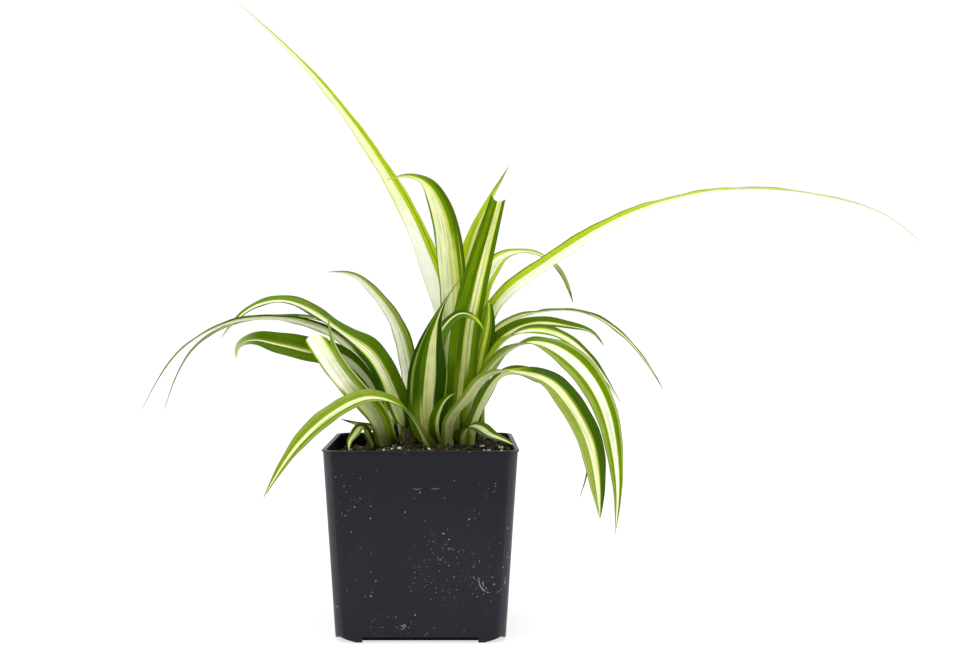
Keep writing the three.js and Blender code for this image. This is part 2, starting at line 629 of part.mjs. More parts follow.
// ---- the assembly --------------------------------------------------------------------------

function piece(name, geometry, colour, roughness) {
  const material = new THREE.MeshStandardMaterial({ color: colour, roughness, metalness: 0 });
  const mesh = new THREE.Mesh(geometry, material);
  mesh.name = name;
  return mesh;
}

const plant = new THREE.Group();
plant.add(piece("pot", potGeometry(), POT_BLACK, ROUGHNESS.pot));
plant.add(piece("soil", soilGeometry(), SOIL_BROWN, ROUGHNESS.soil));
for (const [name, { at }] of Object.entries(CROWNS)) {
  plant.add(piece(`crown_${name}`, crownGeometry(at), CROWN_CREAM, ROUGHNESS.crown));
}
for (const [name, leaf] of Object.entries(LEAVES)) {
  plant.add(piece(`leaf_${name}`, leafGeometry(leaf), leaf.colour, ROUGHNESS.leaf));
}

export default plant;
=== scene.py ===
# A potted spider plant in a thin black square nursery pot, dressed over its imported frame.
# The object's lengths are in millimetres, as measured, and every mesh is scaled to metres when it
# is made. Lights, camera and the object coordinates that shaders read are in metres.
# +X is to the right, -Y is towards the viewer and +Z is up.

import math
import random

import bpy
import numpy as np
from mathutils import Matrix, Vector, noise


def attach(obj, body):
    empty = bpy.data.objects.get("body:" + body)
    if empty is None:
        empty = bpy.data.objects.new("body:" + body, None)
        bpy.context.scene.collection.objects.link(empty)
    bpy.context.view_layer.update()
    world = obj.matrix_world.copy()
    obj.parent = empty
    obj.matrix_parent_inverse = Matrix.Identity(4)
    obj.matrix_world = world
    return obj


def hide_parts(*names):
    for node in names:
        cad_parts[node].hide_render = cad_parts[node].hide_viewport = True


MM = 0.001

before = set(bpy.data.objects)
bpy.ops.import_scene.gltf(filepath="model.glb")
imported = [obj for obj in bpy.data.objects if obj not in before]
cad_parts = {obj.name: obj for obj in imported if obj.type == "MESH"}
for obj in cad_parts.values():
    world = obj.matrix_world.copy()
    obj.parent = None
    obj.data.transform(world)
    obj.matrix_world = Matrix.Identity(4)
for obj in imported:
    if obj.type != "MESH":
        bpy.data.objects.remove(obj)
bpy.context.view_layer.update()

# ---- driving dimensions ----

POT_HEIGHT = 94.0
POT_TOP_WIDTH = 96.8
POT_BASE_WIDTH = 84.0
WALL = 1.5
CORNER_RADIUS_BASE = 8.0
CORNER_RADIUS_TOP = 9.0
RIM_DEPTH = 1.0
RIM_OVERHANG = 0.6
RIM_WIDTH = 2.2
LIP_RADIUS = 0.35
FOOT_HEIGHT = 2.5
FOOT_INNER = 0.833  # where a foot starts and ends, as shares of half a wall's flat part
FOOT_OUTER = 0.921
FOOT_RAMP = 9.0
RECESS_WIDTH = 2.4
RECESS_TOP = 3.2
PAN_THICKNESS = 1.6
PAN_CORNER = 1.4
DRAIN_RADIUS = 4.0
DRAIN_OFFSET = 24.0
CORNER_STEPS = 16

CLEARANCE = 0.3
SOIL_LEVEL = 92.0
SOIL_DIP = 5.5
SOIL_CELLS = 120
SOIL_SHOULDER = 86.0
STREWN_HALF = 44.5  # how far out crumbs, bark and perlite lie, and how round the corners are there
STREWN_CORNER = 8.0
CROWN_FLOOR = 84.0
CROWN_HEIGHT = 8.0
CROWN_RADIUS = 2.0
RING_RADII = (0.0, 2.8, 4.6, 6.4)  # how far from a crown's middle its leaves root

BLADE_THICKNESS = 0.42
ROOT_RISE = 5.4  # how high a leaf has risen, and what share of the way it has leant out,
ROOT_LEAN = 0.25  # where it leaves the crown
CHANNEL_AT_ROOT = 0.75
CHANNEL_AT_BLADE = 0.3
CHANNEL_AT_TIP = 0.12
WAVE = 0.3  # how far the margins wave, and how fast each of their two waves turns, in radians per mm
WAVE_RATES = (0.16, 0.41)
STEP_LENGTH = 1.8
BLADE_COLUMNS = 14

CROWNS = {
    "left": (-19, 4),
    "middle": (-6, 8),
    "front": (11, -1),
    "right": (21, 4),
    "inner": (19, 18),
    "back_left": (-4, 25),
    "back": (12, 37),
    "back_right": (30, 29),
}

# Colours, read as 0 to 255 screen values.
TONES = {
    "deep": (38, 66, 4),
    "forest": (56, 86, 8),
    "leaf": (78, 108, 12),
    "moss": (100, 132, 16),
    "olive": (120, 146, 34),
    "green": (136, 156, 62),
    "sage": (156, 172, 92),
    "haze": (180, 190, 132),
    "reed": (200, 206, 146),
    "lime": (176, 198, 40),
    "yellow": (196, 206, 84),
    "butter": (206, 213, 128),
    "cream": (216, 221, 152),
    "pale": (229, 232, 182),
    "ivory": (238, 239, 204),
    "white": (247, 247, 228),
    "blank": (255, 255, 250),
    "mist": (226, 228, 202),
    "brown": (92, 68, 40),
    "dry": (116, 98, 66),
    "umber": (66, 50, 34),
}

# ---- the leaves' table ----

# Each leaf roots at its crown, on a ring, at side degrees from +X towards +Y.
# path: points of its midrib after it leaves the crown, listed one by one.
# face: where its upper side looks, at even steps from a fifth of its length to its tip.
# width, peak: its greatest width, and the share of its length where that lies.
# taper, slim: how the width falls from there to the tip. root: the width it starts with.
# tip: the share of the width left at its end. cut: how far a cut end stands out at its left
# margin, midrib and right margin. brown: the dry share of its length at the tip. veins: how
# strongly its fine veins show.
# upper, lower: its bands of colour from the left margin (-1) to the right margin (1) as the
# upper side is seen with its tip up. Where they change along the leaf, each set stands at the
# share of the length where it is complete. A leaf without a lower has the upper's bands, paler.
USUAL_LEAF = dict(
    ring=2, peak=0.5, root=7.5, taper=1.7, slim=1, tip=0.02, cut=None, brown=0, veins=1.0, lower=None,
)
LEAVES = {}


def grow(name, crown, **values):
    """Adds a leaf to the table, with the usual value for whatever isn't named."""
    leaf = {"crown": crown, **USUAL_LEAF, **values}
    for side in ("upper", "lower"):
        if isinstance(leaf[side], str):
            leaf[side] = {0: leaf[side]}
    LEAVES[name] = leaf


grow(
    "tall_left", "inner", side=130, width=13, peak=0.36, taper=0.95, veins=0.3,
    path=[(18, 24, 130), (10, 29, 165), (-5, 34, 207), (-30, 40, 251), (-61, 45, 292), (-104, 50, 334)],
    face=[(0.3, -0.9, 0.2), (0.4, -0.85, 0.3), (0.4, -0.8, 0.4), (0.5, -0.7, 0.5)],
    upper={
        0: "olive -0.5, cream 0.3, olive 1",
        0.27: "blank 0.3, lime 0.62, olive 0.72, lime 1",
        0.52: "butter -0.8, pale 0.3, lime 0.62, olive 0.72, lime 1",
    },
)
grow(
    "long_right", "inner", side=62, width=9.5, peak=0.3, veins=0.3,
    path=[
        (24, 26, 112), (29, 29, 133), (39, 33, 164.5), (61.5, 40, 184), (98, 48, 207.5),
        (141, 54, 225), (193, 58, 231), (231, 58, 226), (260, 56, 216), (279, 54, 201),
    ],
    face=[(-0.4, -0.8, 0.4), (-0.2, -0.8, 0.6), (0, -0.3, 0.95), (0.1, -0.25, 0.95), (0.4, -0.3, 0.8)],
    upper={
        0: "olive -0.2, cream 0.7, olive 1",
        0.3: "moss -0.86, lime -0.25, ivory 0.3, white 1",
        0.75: "moss -0.8, lime 0.3, pale 1",
    },
)
grow(
    "curled_centre", "inner", side=202, width=15, peak=0.62, taper=2.2,
    path=[
        (15, 18, 141), (16, 20, 165), (14.5, 22, 188), (11.3, 21, 209.3), (6.2, 18, 222.8),
        (1.3, 14, 229.3), (-6, 10, 232.8), (-19, 8, 231),
    ],
    face=[(0.1, -1, 0.1), (0.1, -1, 0.15), (0.2, -0.95, 0.2), (0.1, -0.85, 0.45), (0, -0.4, 0.95)],
    upper={
        0: "olive -0.6, butter 0.5, olive 1",
        0.3: "leaf -0.9, pale -0.1, butter 0.1, cream 0.3, yellow 0.5, moss 0.72, yellow 0.78, leaf 1",
        0.72: "moss -0.8, pale 0.1, yellow 0.3, moss 0.6, leaf 1",
        0.95: "yellow 0.2, olive 1",
    },
)
grow(
    "thin_behind", "back_left", side=20, width=8,
    path=[(5, 31, 108), (14, 35, 130), (19, 36, 155), (21, 36, 184), (29, 36, 209), (46.5, 36, 241)],
    face=[(-0.1, -1, 0.1), (-0.2, -1, 0.1)],
    upper={0: "lime 0.1, yellow 0.4, cream 1", 0.97: "green 1"},
)
grow(
    "cut_upright", "right", side=155, width=15.2, peak=0.45, tip=0.52, cut=(1.2, -1.6, 0.6), root=12,
    path=[(18, 4, 107), (20, 6, 128), (23.3, 9, 157), (30.4, 14, 188), (40, 20, 222)],
    face=[(0, -1, 0.1), (0, -1, 0.1)],
    upper={
        0: "leaf -0.4, olive -0.1, butter 0.3, moss 1",
        0.4: "moss -0.4, leaf -0.1, yellow 0.0, cream 0.25, olive 0.3, cream 0.5, moss 0.75, leaf 1",
        0.62: "leaf -0.7, moss -0.3, leaf 0.0, yellow 0.1, pale 0.3, olive 0.34, cream 0.55, "
        "lime 0.64, leaf 1",
    },
)
grow(
    "small_hook", "front", side=100, width=9.5, peak=0.6,
    path=[(7, 5, 112), (6, 6, 136), (12, 5, 153), (21, 3, 160), (27, 1, 158), (32, 0, 152)],
    face=[(0.2, -1, 0.1), (-0.2, -0.9, 0.2), (-0.4, -0.8, 0.5), (0.5, -0.7, 0.5)],
    upper={0: "forest -0.4, cream -0.1, leaf 1", 0.97: "lime 0.3, olive 1"},
)
grow(
    "broad_front", "front", ring=3, side=175, width=20.5, peak=0.42, taper=2, slim=4, root=15,
    path=[(2, -1, 108), (3, -3, 129), (5.5, -5, 149), (12, -7, 167), (21, -8, 180)],
    face=[(0, -1, 0.1), (0, -1, 0.1), (-0.2, -1, 0.2)],
    upper={
        0: "leaf -0.6, olive -0.3, butter 0.4, leaf 1",
        0.35: "deep -0.78, green -0.7, forest -0.4, leaf -0.16, cream 0.4, deep 0.92, green 1",
        0.75: "deep -0.78, olive -0.7, leaf -0.1, cream 0.2, deep 0.9, green 1",
    },
)
grow(
    "young_front", "front", ring=1, side=80, width=9,
    path=[(8, -8, 104), (10, -11, 112), (13, -14, 117), (17, -16, 120)],
    face=[(-0.1, -1, 0.1), (-0.2, -1, 0.1)],
    upper="leaf -0.4, moss -0.2, cream 0.15, deep 1",
)
grow(
    "front_left", "front", ring=3, side=-105, width=12.2, peak=0.58,
    path=[(-8, -28, 112.5), (-24, -38, 119.2), (-39, -50, 114), (-56, -62, 100), (-72, -72, 75)],
    face=[(0.2, -0.25, 1), (0, -0.45, 0.9), (-0.3, -0.7, 0.65), (-0.5, -0.75, 0.4), (-0.6, -0.75, 0.2)],
    upper={
        0: "olive -0.3, cream 0.2, moss 1",
        0.45: "green -0.6, moss -0.3, yellow -0.2, ivory 0.14, yellow 0.22, olive 0.65, green 1",
    },
)
grow(
    "wide_left", "middle", side=-95, width=16, peak=0.4, root=12,
    path=[
        (-11, 2, 105), (-18.5, 0, 126), (-27.5, -2, 140.3), (-38, -1.5, 148), (-49, 0, 155.7),
        (-70, 5, 166.8), (-91, 9, 163.3), (-106.5, 11, 148),
    ],
    face=[
        (0.5, -0.85, 0.25), (0.5, -0.75, 0.45), (0.25, -0.25, 0.95), (0, -0.3, 0.95),
        (-0.3, -0.55, 0.8), (-0.6, -0.6, 0.5),
    ],
    upper={
        0: "leaf -0.6, cream 0.3, leaf 1",
        0.3: "deep -0.62, leaf -0.5, yellow -0.34, ivory 0.1, olive 0.16, butter 0.28, moss 0.42, leaf 1",
        0.7: "forest -0.6, ivory 0.0, yellow 0.15, moss 0.8, leaf 1",
    },
)
grow(
    "long_left", "middle", ring=1, side=175, width=8, peak=0.4,
    path=[
        (-16, 10, 112), (-29, 11, 130), (-42, 9, 145), (-58, 4, 154), (-81, -3, 158),
        (-103, -9, 154.3), (-123, -16, 141.5), (-140.5, -22, 112.5),
    ],
    face=[(0.4, 0.5, 0.7), (0.2, 0.6, 0.75), (0, 0.4, 0.9), (-0.4, 0.1, 0.9), (-0.8, -0.2, 0.5)],
    upper="green -0.5, cream 0.4, moss 1",
    lower={
        0: "forest -0.7, haze -0.4, mist 0.1, reed 0.45, leaf 1",
        0.8: "moss -0.5, haze 0.2, olive 1",
    },
)
grow(
    "thin_left", "middle", side=115, width=5, peak=0.4,
    path=[
        (-16, 16, 112), (-26, 17, 132), (-39, 15, 148.5), (-56, 12, 157.5), (-75, 8, 158.7),
        (-99, 3, 155), (-118, -3, 143), (-132, -10, 111.5),
    ],
    face=[(0.3, -0.5, 0.8), (0, -0.4, 0.95), (-0.5, -0.3, 0.8)],
    upper="forest -0.1, cream 0.2, leaf 1",
)
grow(
    "dark_left", "left", side=170, width=16.5, peak=0.62, root=5,
    path=[
        (-26, 4, 117), (-35, 1, 130), (-46, -1, 137.6), (-58, -3, 141), (-68, -5, 143.6),
        (-78, -6, 145.8), (-88, -8, 147), (-94, -9, 144), (-95.5, -9, 137.5),
    ],
    face=[(0.3, -0.8, 0.5), (0.1, -0.75, 0.65), (-0.3, -0.7, 0.6)],
    upper={
        0: "moss -0.55, reed -0.15, forest 0.05, mist 0.5, leaf 1",
        0.58: "leaf -0.16, pale -0.02, olive 0.02, butter 0.06, leaf 0.12, olive 0.16, leaf 1",
        0.97: "haze 1",
    },
)
grow(
    "cut_left", "left", side=-90, width=15, peak=0.75, tip=0.95, cut=(-4, 0.8, -1),
    path=[(-24, -6, 104), (-35, -11, 119), (-46, -15, 134), (-55, -18, 149)],
    face=[(0.5, 0.8, 0.3), (0.5, 0.8, 0.4)],
    upper="green -0.6, cream 0.6, green 1",
    lower={
        0: "moss -0.8, haze -0.2, reed 0.5, moss 1",
        0.65: "moss -0.86, lime -0.7, mist -0.55, ivory 0.1, white 0.72, yellow 0.86, moss 1",
    },
)
grow(
    "folded_left", "left", side=-20, width=8,
    path=[(-20, -12, 109), (-29, -18, 121), (-38, -22, 133), (-44, -23, 144), (-47, -22, 159)],
    face=[(0.6, 0.6, 0.4), (0.7, 0.6, 0.3)],
    upper="moss -0.3, cream 0.2, moss 1",
    lower="haze -0.75, moss -0.2, olive 0.5, moss 1",
)
grow(
    "shoot_left", "left", ring=1, side=60, width=4,
    path=[(-18, 2, 104), (-23, -2, 112), (-30, -4, 120), (-37, -7, 128)],
    face=[(0.2, -1, 0.3), (0.2, -1, 0.3)],
    upper="moss -0.2, pale 0.2, leaf 1",
)
grow(
    "low_left", "left", ring=3, side=225, width=5.5, peak=0.6,
    path=[(-31, -8, 102), (-34, -16, 99), (-36, -23, 96), (-36, -28, 92)],
    face=[(0, -0.5, 0.9), (-0.2, -0.8, 0.6), (-0.2, -0.9, 0.3)],
    upper="moss -0.4, cream 0.4, leaf 1",
)
grow(
    "dry_left", "left", ring=3, side=95, width=5, peak=0.4, root=4,
    path=[(-24, 12, 98), (-34, 10, 102), (-43, 7, 105)],
    face=[(0, -0.6, 0.8), (0, -0.6, 0.8)],
    upper={0: "umber -0.6, haze 0.3, dry 0.6, umber 1", 0.9: "umber 1"},
)
grow(
    "back_left", "back_left", side=185, width=12, peak=0.42,
    path=[
        (-7, 27, 114), (-9.5, 29, 135), (-17, 33, 157.8), (-29, 37, 173.7), (-36, 39, 180),
        (-44, 41, 183), (-53, 42, 183.4),
    ],
    face=[(0.4, 0.8, 0.2), (0.5, 0.75, 0.4), (0.3, 0.6, 0.75)],
    upper="green -0.5, cream 0.5, green 1",
    lower="leaf -0.85, green -0.45, haze -0.3, mist 0.85, olive 1",
)
grow(
    "right_high", "inner", side=-14, width=9, peak=0.35, brown=0.06, taper=2.6,
    path=[
        (25, 20, 114), (31, 21, 140), (42, 23, 153), (62, 25, 161), (85, 27, 161.3),
        (104, 28, 152), (119.5, 27, 135.5), (129.5, 25, 119.5),
    ],
    face=[(-0.6, 0.4, 0.5), (-0.3, 0.4, 0.85), (0.1, -0.1, 1), (0.5, -0.4, 0.75), (0.8, -0.4, 0.4)],
    upper="leaf -0.35, cream 0.4, leaf 1",
    lower="leaf -0.7, haze 0.1, cream 0.7, olive 1",
)
grow(
    "right_dark", "inner", side=-82, width=8.5, peak=0.45, brown=0.05, taper=2.2,
    path=[
        (25, 15, 112), (32, 15, 135), (43, 14, 149), (62, 11, 156), (79.5, 8, 153.8), (89, 6, 150.7),
        (95, 4, 143.5),
    ],
    face=[(-0.6, -0.6, 0.4), (-0.2, -0.8, 0.6), (0.3, -0.7, 0.65)],
    upper={0: "leaf -0.1, olive 0.0, cream 0.55, leaf 1", 0.85: "leaf 0.2, cream 0.5, leaf 1"},
)
grow(
    "right_lime", "right", ring=1, side=40, width=10.5, taper=2,
    path=[
        (27, 4, 111), (33, 2, 130), (43, -1, 146.5), (57, -6, 151.7), (72, -12, 148.5),
        (86.5, -18, 136), (100, -24, 116),
    ],
    face=[(-0.7, 0.4, 0.5), (-0.3, 0.2, 0.95), (0.3, -0.5, 0.8), (0.6, -0.7, 0.4), (0.8, -0.6, 0.2)],
    upper={0: "leaf -0.5, lime -0.3, ivory 0.3, lime 0.6, moss 1", 0.8: "leaf -0.35, ivory 0.3, moss 1"},
    lower="lime -0.3, cream 0.3, lime 1",
)
grow(
    "right_long", "right", side=-12, width=16, peak=0.45, taper=2, slim=1.2,
    path=[
        (25, -1, 107), (32, -4, 126), (43, -10, 140), (55, -18, 145.5), (73, -28, 138),
        (82.5, -35, 128), (90, -41, 113), (93.5, -45, 97), (95.3, -48, 78), (94, -50, 54),
    ],
    face=[(-0.6, 0.6, 0.5), (-0.3, 0, 0.95), (0.2, -0.85, 0.5), (0.3, -0.95, 0.2), (0.3, -0.95, 0.05)],
    upper={
        0: "moss -0.3, cream 0.3, olive 1",
        0.5: "sage -0.8, moss -0.42, yellow -0.34, white 0.2, yellow 0.27, moss 0.55, green 1",
    },
    lower="leaf -0.5, olive 0.1, reed 0.4, green 0.7, moss 1",
)
grow(
    "right_front", "front", ring=3, side=-50, width=15, peak=0.62, taper=2.8,
    path=[
        (15, -10, 104), (23, -17, 116), (31, -22, 126.5), (40, -29, 131.5), (50, -35, 131),
        (57, -38, 129.5), (64.3, -42, 125.8), (70, -46, 119.8), (76.2, -50, 110.3), (80.6, -53, 100.5),
        (83.3, -55, 90), (85, -57, 76), (85.8, -58, 63),
    ],
    face=[
        (-0.6, 0.6, 0.4), (-0.4, 0.35, 0.9), (0.1, -0.4, 0.9), (0.4, -0.8, 0.4),
        (0.4, -0.85, 0.2), (0.4, -0.85, 0.1),
    ],
    upper={
        0: "lime -0.3, pale 0.3, lime 1",
        0.5: "forest -0.42, olive -0.3, cream -0.2, pale 0.25, olive 0.34, green 0.85, sage 1",
    },
    lower="leaf -0.9, reed -0.2, haze 0.0, reed 0.7, green 1",
)
grow(
    "right_back", "right", ring=3, side=-46, width=9, peak=0.4,
    path=[
        (27, -3, 103), (32, -2, 115), (39, 0, 126), (48, 5, 130), (59, 9, 127), (67, 12, 123),
        (79, 16, 110), (87, 18, 93), (88, 19, 78), (84, 20, 62),
    ],
    face=[(-0.6, 0.7, 0.4), (-0.3, 0.4, 0.9), (0.4, 0.4, 0.8), (0.9, 0.1, 0.3)],
    upper="leaf -0.6, cream 0.4, leaf 1",
    lower="forest -0.7, reed 0.5, leaf 1",
)
grow(
    "over_soil", "right", side=-113, width=11,
    path=[(22, -11, 101), (28, -20, 103), (34, -29, 100), (41, -36, 98), (46, -41, 96)],
    face=[(0, -0.3, 0.9), (0.2, -0.6, 0.75), (0.3, -0.6, 0.7)],
    upper="leaf -0.4, pale 0.2, forest 1",
)
grow(
    "curl_right", "right", side=75, width=9.5, peak=0.6,
    path=[(28, 9, 115), (32, 11, 141), (35, 14, 156), (35, 18, 166), (34, 24, 168)],
    face=[(-0.1, -1, 0.1), (0.1, -1, 0.1), (0.2, -0.8, -0.5)],
    upper={
        0: "leaf -0.3, olive 0.2, forest 1",
        0.55: "leaf -0.7, olive -0.3, yellow 0.1, moss 0.5, forest 1",
    },
)
grow(
    "lime_arch", "back_right", side=60, width=14.5, brown=0.05, taper=2.3,
    path=[
        (29, 38, 124), (28, 41, 157), (31, 42, 173), (36.5, 43, 183.5), (42.5, 46, 191),
        (50, 49, 194.2), (63, 52, 193.6), (75, 53, 185.3), (83, 50, 166.5),
    ],
    face=[(-0.4, -0.9, 0.2), (-0.4, -0.8, 0.4), (0, -0.2, 1), (0.8, -0.5, 0.4)],
    upper={
        0: "moss -0.8, lime -0.4, pale 0.4, lime 1",
        0.6: "moss -0.85, lime -0.4, ivory 0.5, lime 1",
        0.9: "green 0.3, forest 1",
    },
)

OVER_THE_BACK = [(0, -0.5, 0.9), (0, 0.3, 1), (0, 0.9, 0.5), (0, 1, 0.1)]
grow(
    "low_back_left", "back_left", side=110, width=12, face=OVER_THE_BACK,
    path=[(-10, 44, 112), (-14, 62, 117), (-20, 82, 104), (-26, 96, 78), (-30, 102, 50)],
    upper="moss -0.3, cream 0.3, moss 1",
)
grow(
    "arch_back", "back", side=60, width=11,
    path=[(14, 42, 122), (15, 54, 140), (16, 78, 142), (15, 100, 122), (14, 119, 90), (13, 128, 58)],
    face=[(0, -0.6, 0.8), (0, 0.1, 1), (0, 0.8, 0.6), (0, 1, 0.1)],
    upper="green -0.35, pale 0.3, green 1",
)
grow(
    "low_back", "back", side=150, width=12, face=OVER_THE_BACK,
    path=[(5, 47, 108), (2, 64, 112), (0, 84, 96), (0, 98, 68), (0, 104, 40)],
    upper="leaf -0.2, butter 0.35, forest 1",
)
grow(
    "low_back_right", "back_right", side=165, width=11, face=OVER_THE_BACK,
    path=[(20, 42, 112), (19, 58, 118), (20, 80, 104), (22, 96, 78), (23, 104, 50)],
    upper="olive -0.3, cream 0.4, moss 1",
)

# ---- small helpers ----


def smooth(t):
    return t * t * (3 - 2 * t)


def between(low, high, x):
    return min(1.0, max(0.0, (x - low) / (high - low)))


def lerp(a, b, t):
    return a + (b - a) * t


def quarter_turn(steps):
    return [k / steps * math.pi / 2 for k in range(steps + 1)]


def full_turn(sides):
    return [k / sides * math.tau for k in range(sides)]


def linear(tone):
    """A 0 to 255 screen colour as the linear colour that a shader takes."""
    shares = [c / 255 for c in tone]
    return tuple(c / 12.92 if c <= 0.04045 else ((c + 0.055) / 1.055) ** 2.4 for c in shares) + (1.0,)


# ---- shaders ----


class Nodes:
    """Short ways to add nodes to a material or to the world."""

    def __init__(self, owner):
        owner.use_nodes = True
        self.nodes = owner.node_tree.nodes
        self.links = owner.node_tree.links

    def feed(self, node, inputs):
        """Gives a node's inputs, by name or number, a value each or another node's output."""
        for key, value in inputs.items():
            if isinstance(value, bpy.types.NodeSocket):
                self.links.new(value, node.inputs[key])
            else:
                node.inputs[key].default_value = value

    def node(self, kind, inputs=None, **settings):
        made = self.nodes.new("ShaderNode" + kind)
        for key, value in settings.items():
            setattr(made, key, value)
        self.feed(made, inputs or {})
        return made

    def math(self, operation, a, b=0.0):
        return self.node("Math", {0: a, 1: b}, operation=operation).outputs[0]

    def plus(self, a, b):
        return self.math("ADD", a, b)

    def minus(self, a, b):
        return self.math("SUBTRACT", a, b)

    def times(self, a, b):
        return self.math("MULTIPLY", a, b)

    def greater(self, a, b):
        return self.math("MAXIMUM", a, b)

    def sway(self, noise, width):
        """A noise value moved to lie on both sides of nothing, and made this wide."""
        return self.times(self.minus(noise, 0.5), width)

    def place(self, x=0.0, y=0.0, z=0.0):
        return self.node("CombineXYZ", {0: x, 1: y, 2: z}).outputs[0]

    def parts(self, vector):
        return self.node("SeparateXYZ", {0: vector}).outputs

    def distance(self, a, b):
        return self.node("VectorMath", {0: a, 1: b}, operation="DISTANCE").outputs["Value"]

    def here(self):
        return self.node("TexCoord").outputs["Object"]

    def noise(self, vector, scale, detail=2.0, rough=0.5):
        inputs = {"Vector": vector, "Scale": scale, "Detail": detail, "Roughness": rough}
        return self.node("TexNoise", inputs).outputs["Fac"]

    def cells(self, vector, scale):
        """Random cells: the distance to each one's point, and two random values that it keeps."""
        made = self.node("TexVoronoi", {"Vector": vector, "Scale": scale})
        kept = self.node("SeparateColor", {0: made.outputs["Color"]}).outputs
        return made.outputs["Distance"], kept[0], kept[1]

    def ranged(self, value, low, high, out_low=0.0, out_high=1.0):
        inputs = {"Value": value, "From Min": low, "From Max": high, "To Min": out_low, "To Max": out_high}
        return self.node("MapRange", inputs, interpolation_type="SMOOTHSTEP").outputs["Result"]

    def ramp(self, value, stops):
        made = self.node("ValToRGB", {"Fac": value})
        elements = made.color_ramp.elements
        elements[0].position, elements[0].color = stops[0]
        elements[1].position, elements[1].color = stops[-1]
        for position, colour in stops[1:-1]:
            elements.new(position).color = colour
        return made.outputs["Color"]

    def mix(self, share, a, b, blend="MIX"):
        inputs = {"Factor": share, 6: a, 7: b}
        return self.node("Mix", inputs, data_type="RGBA", blend_type=blend).outputs[2]

    def darken(self, share, colour, tint):
        """Takes a colour a share of the way to itself times a tint."""
        return self.mix(share, colour, self.mix(1.0, colour, tint, "MULTIPLY"))


class Shader(Nodes):
    """A material on its one surface shader."""

    def __init__(self, name):
        self.material = bpy.data.materials.new(name)
        super().__init__(self.material)
        self.surface = self.nodes["Principled BSDF"]

    def bump(self, height, strength, distance):
        made = self.node("Bump", {"Strength": strength, "Distance": distance, "Height": height})
        self.feed(self.surface, {"Normal": made.outputs["Normal"]})

    def finish(self, colour, roughness, specular, **others):
        """Sets the surface, others with _ for each space in a name, and gives the material."""
        inputs = {"Base Color": colour, "Roughness": roughness, "Specular IOR Level": specular}
        inputs.update((key.replace("_", " "), value) for key, value in others.items())
        self.feed(self.surface, inputs)
        return self.material


STRIPE_SOFTNESS = 0.014
STRIPE_WANDER = 0.10  # how far a stripe strays along the leaf, as a share of the width
STRIPE_RAG = 0.07  # and how uneven its border is
BAND_CHANGE = 0.12  # the share of the length over which one set of bands turns into the next
SHEEN = 0.006  # what the leaf's own reflection adds to a tone
MARGIN_AND_CREASE_SHADE = (0.62, 0.66, 0.5, 1.0)  # how much darker a leaf is along its thin edges, and the painted shade of the fold along its midrib
MARGIN_LINE = (0.465, 0.49)  # where that starts and is full, as shares of the width from the midrib
CREASE_SHADE_LINE = (0.02, 0.005)
CREASE_SHADE_STRENGTH = 0.35  # how strong the painted shade of the midrib's fold is, as a share of the darkening on the edges
FOOT_SHADE_TINT = (0.34, 0.33, 0.2, 1.0)  # painted shade: how much darker a leaf is drawn just above the soil
FOOT_SHADE_REACH = (17.0, 2.0)  # how far from its foot the painted shade has faded out, and is full
FOOT_SHADE_PATCHES = 14.0  # how unevenly the painted shade reaches up
FOOT_SHADE_STRENGTH = 0.85
VEIN_TINTS = [(0.34, (0.62, 0.68, 0.46, 1)), (0.47, (1, 1, 1, 1)), (0.68, (1.1, 1.08, 1.12, 1))]
PATCH_TINTS = [(0.3, (0.93, 0.94, 0.9, 1)), (0.7, (1.04, 1.03, 1.05, 1))]


def stripe_stops(text):
    """Turns "green -0.3, cream 0.3, green 1" into ramp stops, with a short blend at each border."""
    stops = []
    start = 0.0
    for part in text.split(", "):
        tone, end = part.split()
        colour = tuple(max(0.0, c - SHEEN) for c in linear(TONES[tone])[:3]) + (1.0,)
        end = (float(end) + 1) / 2
        first = start if start == 0 else start + STRIPE_SOFTNESS
        last = end if end == 1 else max(first, end - STRIPE_SOFTNESS)
        stops += [(first, colour), (last, colour)]
        start = end
    return stops


